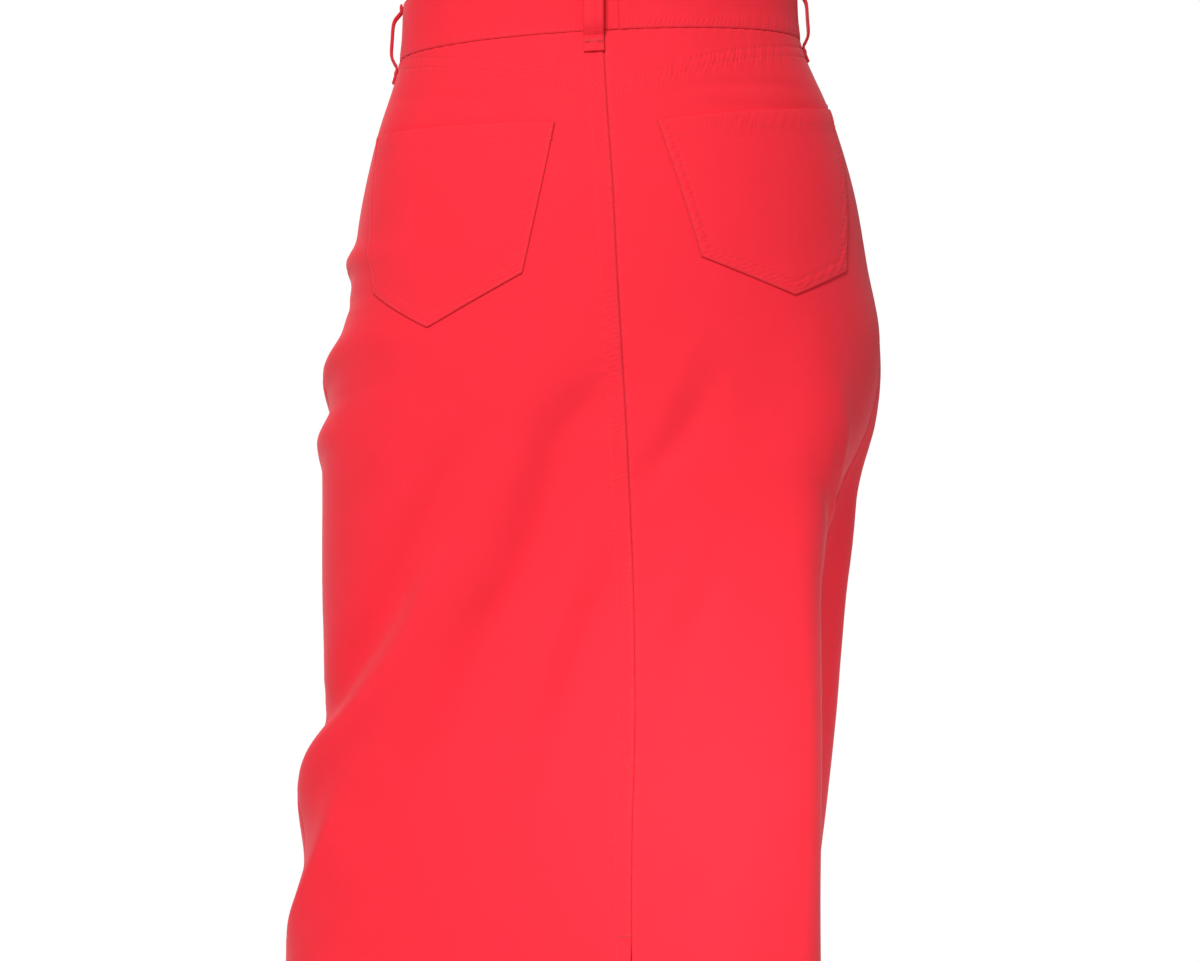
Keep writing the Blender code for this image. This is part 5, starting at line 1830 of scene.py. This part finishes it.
def make_world(strength):
    """White surroundings that light the skirt from all round."""
    world = bpy.data.worlds.new("studio")
    bpy.context.scene.world = world
    world.use_nodes = True
    tree = world.node_tree
    light = node(tree, "ShaderNodeBackground", {"Color": WHITE, "Strength": strength})
    backdrop = fill(tree, tree.nodes["Background"], {"Color": WHITE, "Strength": 1.0})
    seen = node(tree, "ShaderNodeLightPath", {}).outputs["Is Camera Ray"]
    shaders = {0: seen, 1: light.outputs[0], 2: backdrop.outputs[0]}
    both = node(tree, "ShaderNodeMixShader", shaders).outputs[0]
    fill(tree, tree.nodes["World Output"], {"Surface": both})


def make_camera(distance, width):
    """A level camera behind the skirt."""
    data = bpy.data.cameras.new("camera")
    data.sensor_width = SENSOR
    data.lens = SENSOR * distance / width
    data.clip_end = 100
    camera = bpy.data.objects.new("camera", data)
    camera.location = (0, distance, CAMERA_LEVEL)
    camera.rotation_euler = (pi / 2, 0, pi)
    bpy.context.scene.collection.objects.link(camera)
    bpy.context.scene.camera = camera


# ---------------------------------------------------------------- settings


class SkirtClothSettings(bpy.types.PropertyGroup):
    """Colours and sizes of the denim."""

    denim_colour: FloatVectorProperty(
        name="Denim", description="Colour of the dyed cloth", default=(0.94, 0.0232, 0.0450),
        min=0, max=1, subtype="COLOR",
    )
    shade_colour: FloatVectorProperty(
        name="Denim, darker", description="Colour of the cloth where the dye took more",
        default=(0.91, 0.0202, 0.0395), min=0, max=1, subtype="COLOR",
    )
    worn_colour: FloatVectorProperty(
        name="Rubbed edges", description="Colour of the cloth where its edges are rubbed",
        default=(0.94, 0.070, 0.10), min=0, max=1, subtype="COLOR",
    )
    # Painted shade along the edges where the cloth turns under: a dark colour, and how much of it
    # the strip takes.
    edge_shade_colour: FloatVectorProperty(
        name="Painted edge shade",
        description="Colour of the shade painted where the cloth turns under at its sewn edges",
        default=(0.50, 0.011, 0.020), min=0, max=1, subtype="COLOR",
    )
    edge_shade_share: FloatProperty(
        name="Painted edge shade, strength",
        description="How much of the painted shade colour the turned edges take", default=0.6, min=0,
        max=1, subtype="FACTOR",
    )
    weave_pitch: FloatProperty(
        name="Weave", description="Distance between two ribs of the twill", default=0.0008,
        min=0.0002, max=0.005, unit="LENGTH",
    )
    crease_share: FloatProperty(
        name="Creases", description="Strength of the finer creases", default=1.0, min=0, max=1.5,
        subtype="FACTOR",
    )


class SkirtStitchSettings(bpy.types.PropertyGroup):
    """Colour and sizes of the sewing."""

    colour: FloatVectorProperty(
        name="Thread", description="Colour of the sewing thread", default=(0.88, 0.030, 0.050),
        min=0, max=1, subtype="COLOR",
    )
    pitch: FloatProperty(
        name="Stitch spacing", description="Distance from one stitch to the next", default=0.0032,
        min=0.001, max=0.01, unit="LENGTH",
    )
    length: FloatProperty(
        name="Stitch length", description="Visible length of one stitch", default=0.0026,
        min=0.0005, max=0.01, unit="LENGTH",
    )
    thread: FloatProperty(
        name="Thread thickness", description="Thickness of the sewing thread", default=0.00055,
        min=0.0001, max=0.002, unit="LENGTH",
    )


class SkirtStageSettings(bpy.types.PropertyGroup):
    """Floor, lights and camera."""

    floor_drop: FloatProperty(
        name="Floor", description="Distance from the hem down to the floor", default=0.16, min=0,
        max=1, unit="LENGTH",
    )
    surround: FloatProperty(
        name="Surroundings", description="Strength of the light from all round", default=0.26,
        min=0, max=5,
    )
    key_power: FloatProperty(
        name="Main light", description="Power of the large high light on the skirt's left",
        default=400.0, min=0, max=2000, unit="POWER",
    )
    front_power: FloatProperty(
        name="Front light", description="Power of the light before the skirt's front",
        default=46.0, min=0, max=500, unit="POWER",
    )
    low_power: FloatProperty(
        name="Low light", description="Power of the narrow light low down on the skirt's right",
        default=0.21, min=0, max=50, unit="POWER",
    )
    camera_distance: FloatProperty(
        name="Camera", description="Distance from the camera to the middle of the skirt",
        default=3.2, min=0.5, max=20, unit="LENGTH",
    )
    view_width: FloatProperty(
        name="View", description="Width that the camera sees at the middle of the skirt",
        default=0.792, min=0.1, max=10, unit="LENGTH",
    )


# ---------------------------------------------------------------- operators


class MakeBackPanels(bpy.types.Operator):
    """Make the two back panels, with the slit between them"""

    bl_idname = "skirt.back_panels"
    bl_label = "Back panels"

    def execute(self, context):
        for side in SIDES:
            make_back_panel(side)
        return {"FINISHED"}


class MakeYokes(bpy.types.Operator):
    """Make the two halves of the back yoke"""

    bl_idname = "skirt.yokes"
    bl_label = "Back yoke"

    def execute(self, context):
        for side in SIDES:
            make_yoke(side)
        return {"FINISHED"}


class MakeFrontPanels(bpy.types.Operator):
    """Make the two front panels"""

    bl_idname = "skirt.front_panels"
    bl_label = "Front panels"

    def execute(self, context):
        for side in SIDES:
            make_front_panel(side)
        return {"FINISHED"}


class MakePockets(bpy.types.Operator):
    """Make the two patch pockets on the back"""

    bl_idname = "skirt.pockets"
    bl_label = "Back pockets"

    def execute(self, context):
        for side in SIDES:
            make_pocket(side)
        return {"FINISHED"}


class MakeWaistband(bpy.types.Operator):
    """Make the waistband"""

    bl_idname = "skirt.waistband"
    bl_label = "Waistband"

    def execute(self, context):
        make_waistband()
        return {"FINISHED"}


class MakeBeltLoops(bpy.types.Operator):
    """Make the belt loops"""

    bl_idname = "skirt.belt_loops"
    bl_label = "Belt loops"

    def execute(self, context):
        for loop in BELT_LOOPS:
            make_belt_loop(loop)
        return {"FINISHED"}


class MakeFly(bpy.types.Operator):
    """Make the zip, its shield and its slider, and the button"""

    bl_idname = "skirt.fly"
    bl_label = "Zip and button"

    def execute(self, context):
        for strip in FLY_STRIPS:
            make_strip(*strip)
        make_teeth()
        make_slider()
        make_button()
        make_beads()
        return {"FINISHED"}


class MakeStitching(bpy.types.Operator):
    """Sew all the visible stitch rows"""

    bl_idname = "skirt.stitching"
    bl_label = "Stitching"

    def execute(self, context):
        for name, sewn in STITCHING.items():
            seam = Seam(f"stitching_{name}")
            for sew in sewn:
                sew(seam)
            seam.finish()
        return {"FINISHED"}


class MakeStage(bpy.types.Operator):
    """Set out the floor, the lights and the camera"""

    bl_idname = "skirt.stage"
    bl_label = "Floor, lights and camera"

    def execute(self, context):
        sizes = context.scene.skirt_stage
        bpy.ops.object.select_all(action="DESELECT")
        bpy.ops.mesh.primitive_circle_add(vertices=96, radius=FLOOR_RADIUS, fill_type="NGON")
        floor = context.object
        floor.name = "floor"
        floor.data.transform(Matrix.Translation((0, 0, cad_box[0][2] - sizes.floor_drop)))
        floor.data.materials.append(material_of("studio floor"))
        make_world(sizes.surround)
        for light in STUDIO_LIGHTS:
            add_light(light, getattr(sizes, light.power))
        make_camera(sizes.camera_distance, sizes.view_width)
        context.scene.view_settings.view_transform = "Standard"
        return {"FINISHED"}


class SkirtPanel(bpy.types.Panel):
    """The skirt's operators and settings"""

    bl_idname = "VIEW3D_PT_skirt"
    bl_label = "Red denim skirt"
    bl_space_type = "VIEW_3D"
    bl_region_type = "UI"
    bl_category = "Skirt"

    def draw(self, context):
        layout = self.layout
        for operator in OPERATORS:
            layout.operator(operator.bl_idname)
        for group in ("skirt_cloth", "skirt_stitch", "skirt_stage"):
            settings = getattr(context.scene, group)
            box = layout.box()
            for name in settings.__annotations__:
                box.prop(settings, name)


OPERATORS = (
    MakeStage,
    MakeBackPanels,
    MakeYokes,
    MakeFrontPanels,
    MakePockets,
    MakeWaistband,
    MakeBeltLoops,
    MakeFly,
    MakeStitching,
)
SETTINGS = {
    "skirt_cloth": SkirtClothSettings,
    "skirt_stitch": SkirtStitchSettings,
    "skirt_stage": SkirtStageSettings,
}


def register():
    for group in SETTINGS.values():
        bpy.utils.register_class(group)
    for name, group in SETTINGS.items():
        setattr(bpy.types.Scene, name, PointerProperty(type=group))
    for kind in (*OPERATORS, SkirtPanel):
        bpy.utils.register_class(kind)


def unregister():
    for kind in reversed((*OPERATORS, SkirtPanel)):
        bpy.utils.unregister_class(kind)
    for name, group in SETTINGS.items():
        delattr(bpy.types.Scene, name)
        bpy.utils.unregister_class(group)


def main():
    register()
    bpy.ops.skirt.stage()
    bpy.ops.skirt.back_panels()
    bpy.ops.skirt.yokes()
    bpy.ops.skirt.front_panels()
    bpy.ops.skirt.pockets()
    bpy.ops.skirt.waistband()
    bpy.ops.skirt.belt_loops()
    bpy.ops.skirt.fly()
    bpy.ops.skirt.stitching()


if __name__ == "__main__":
    main()
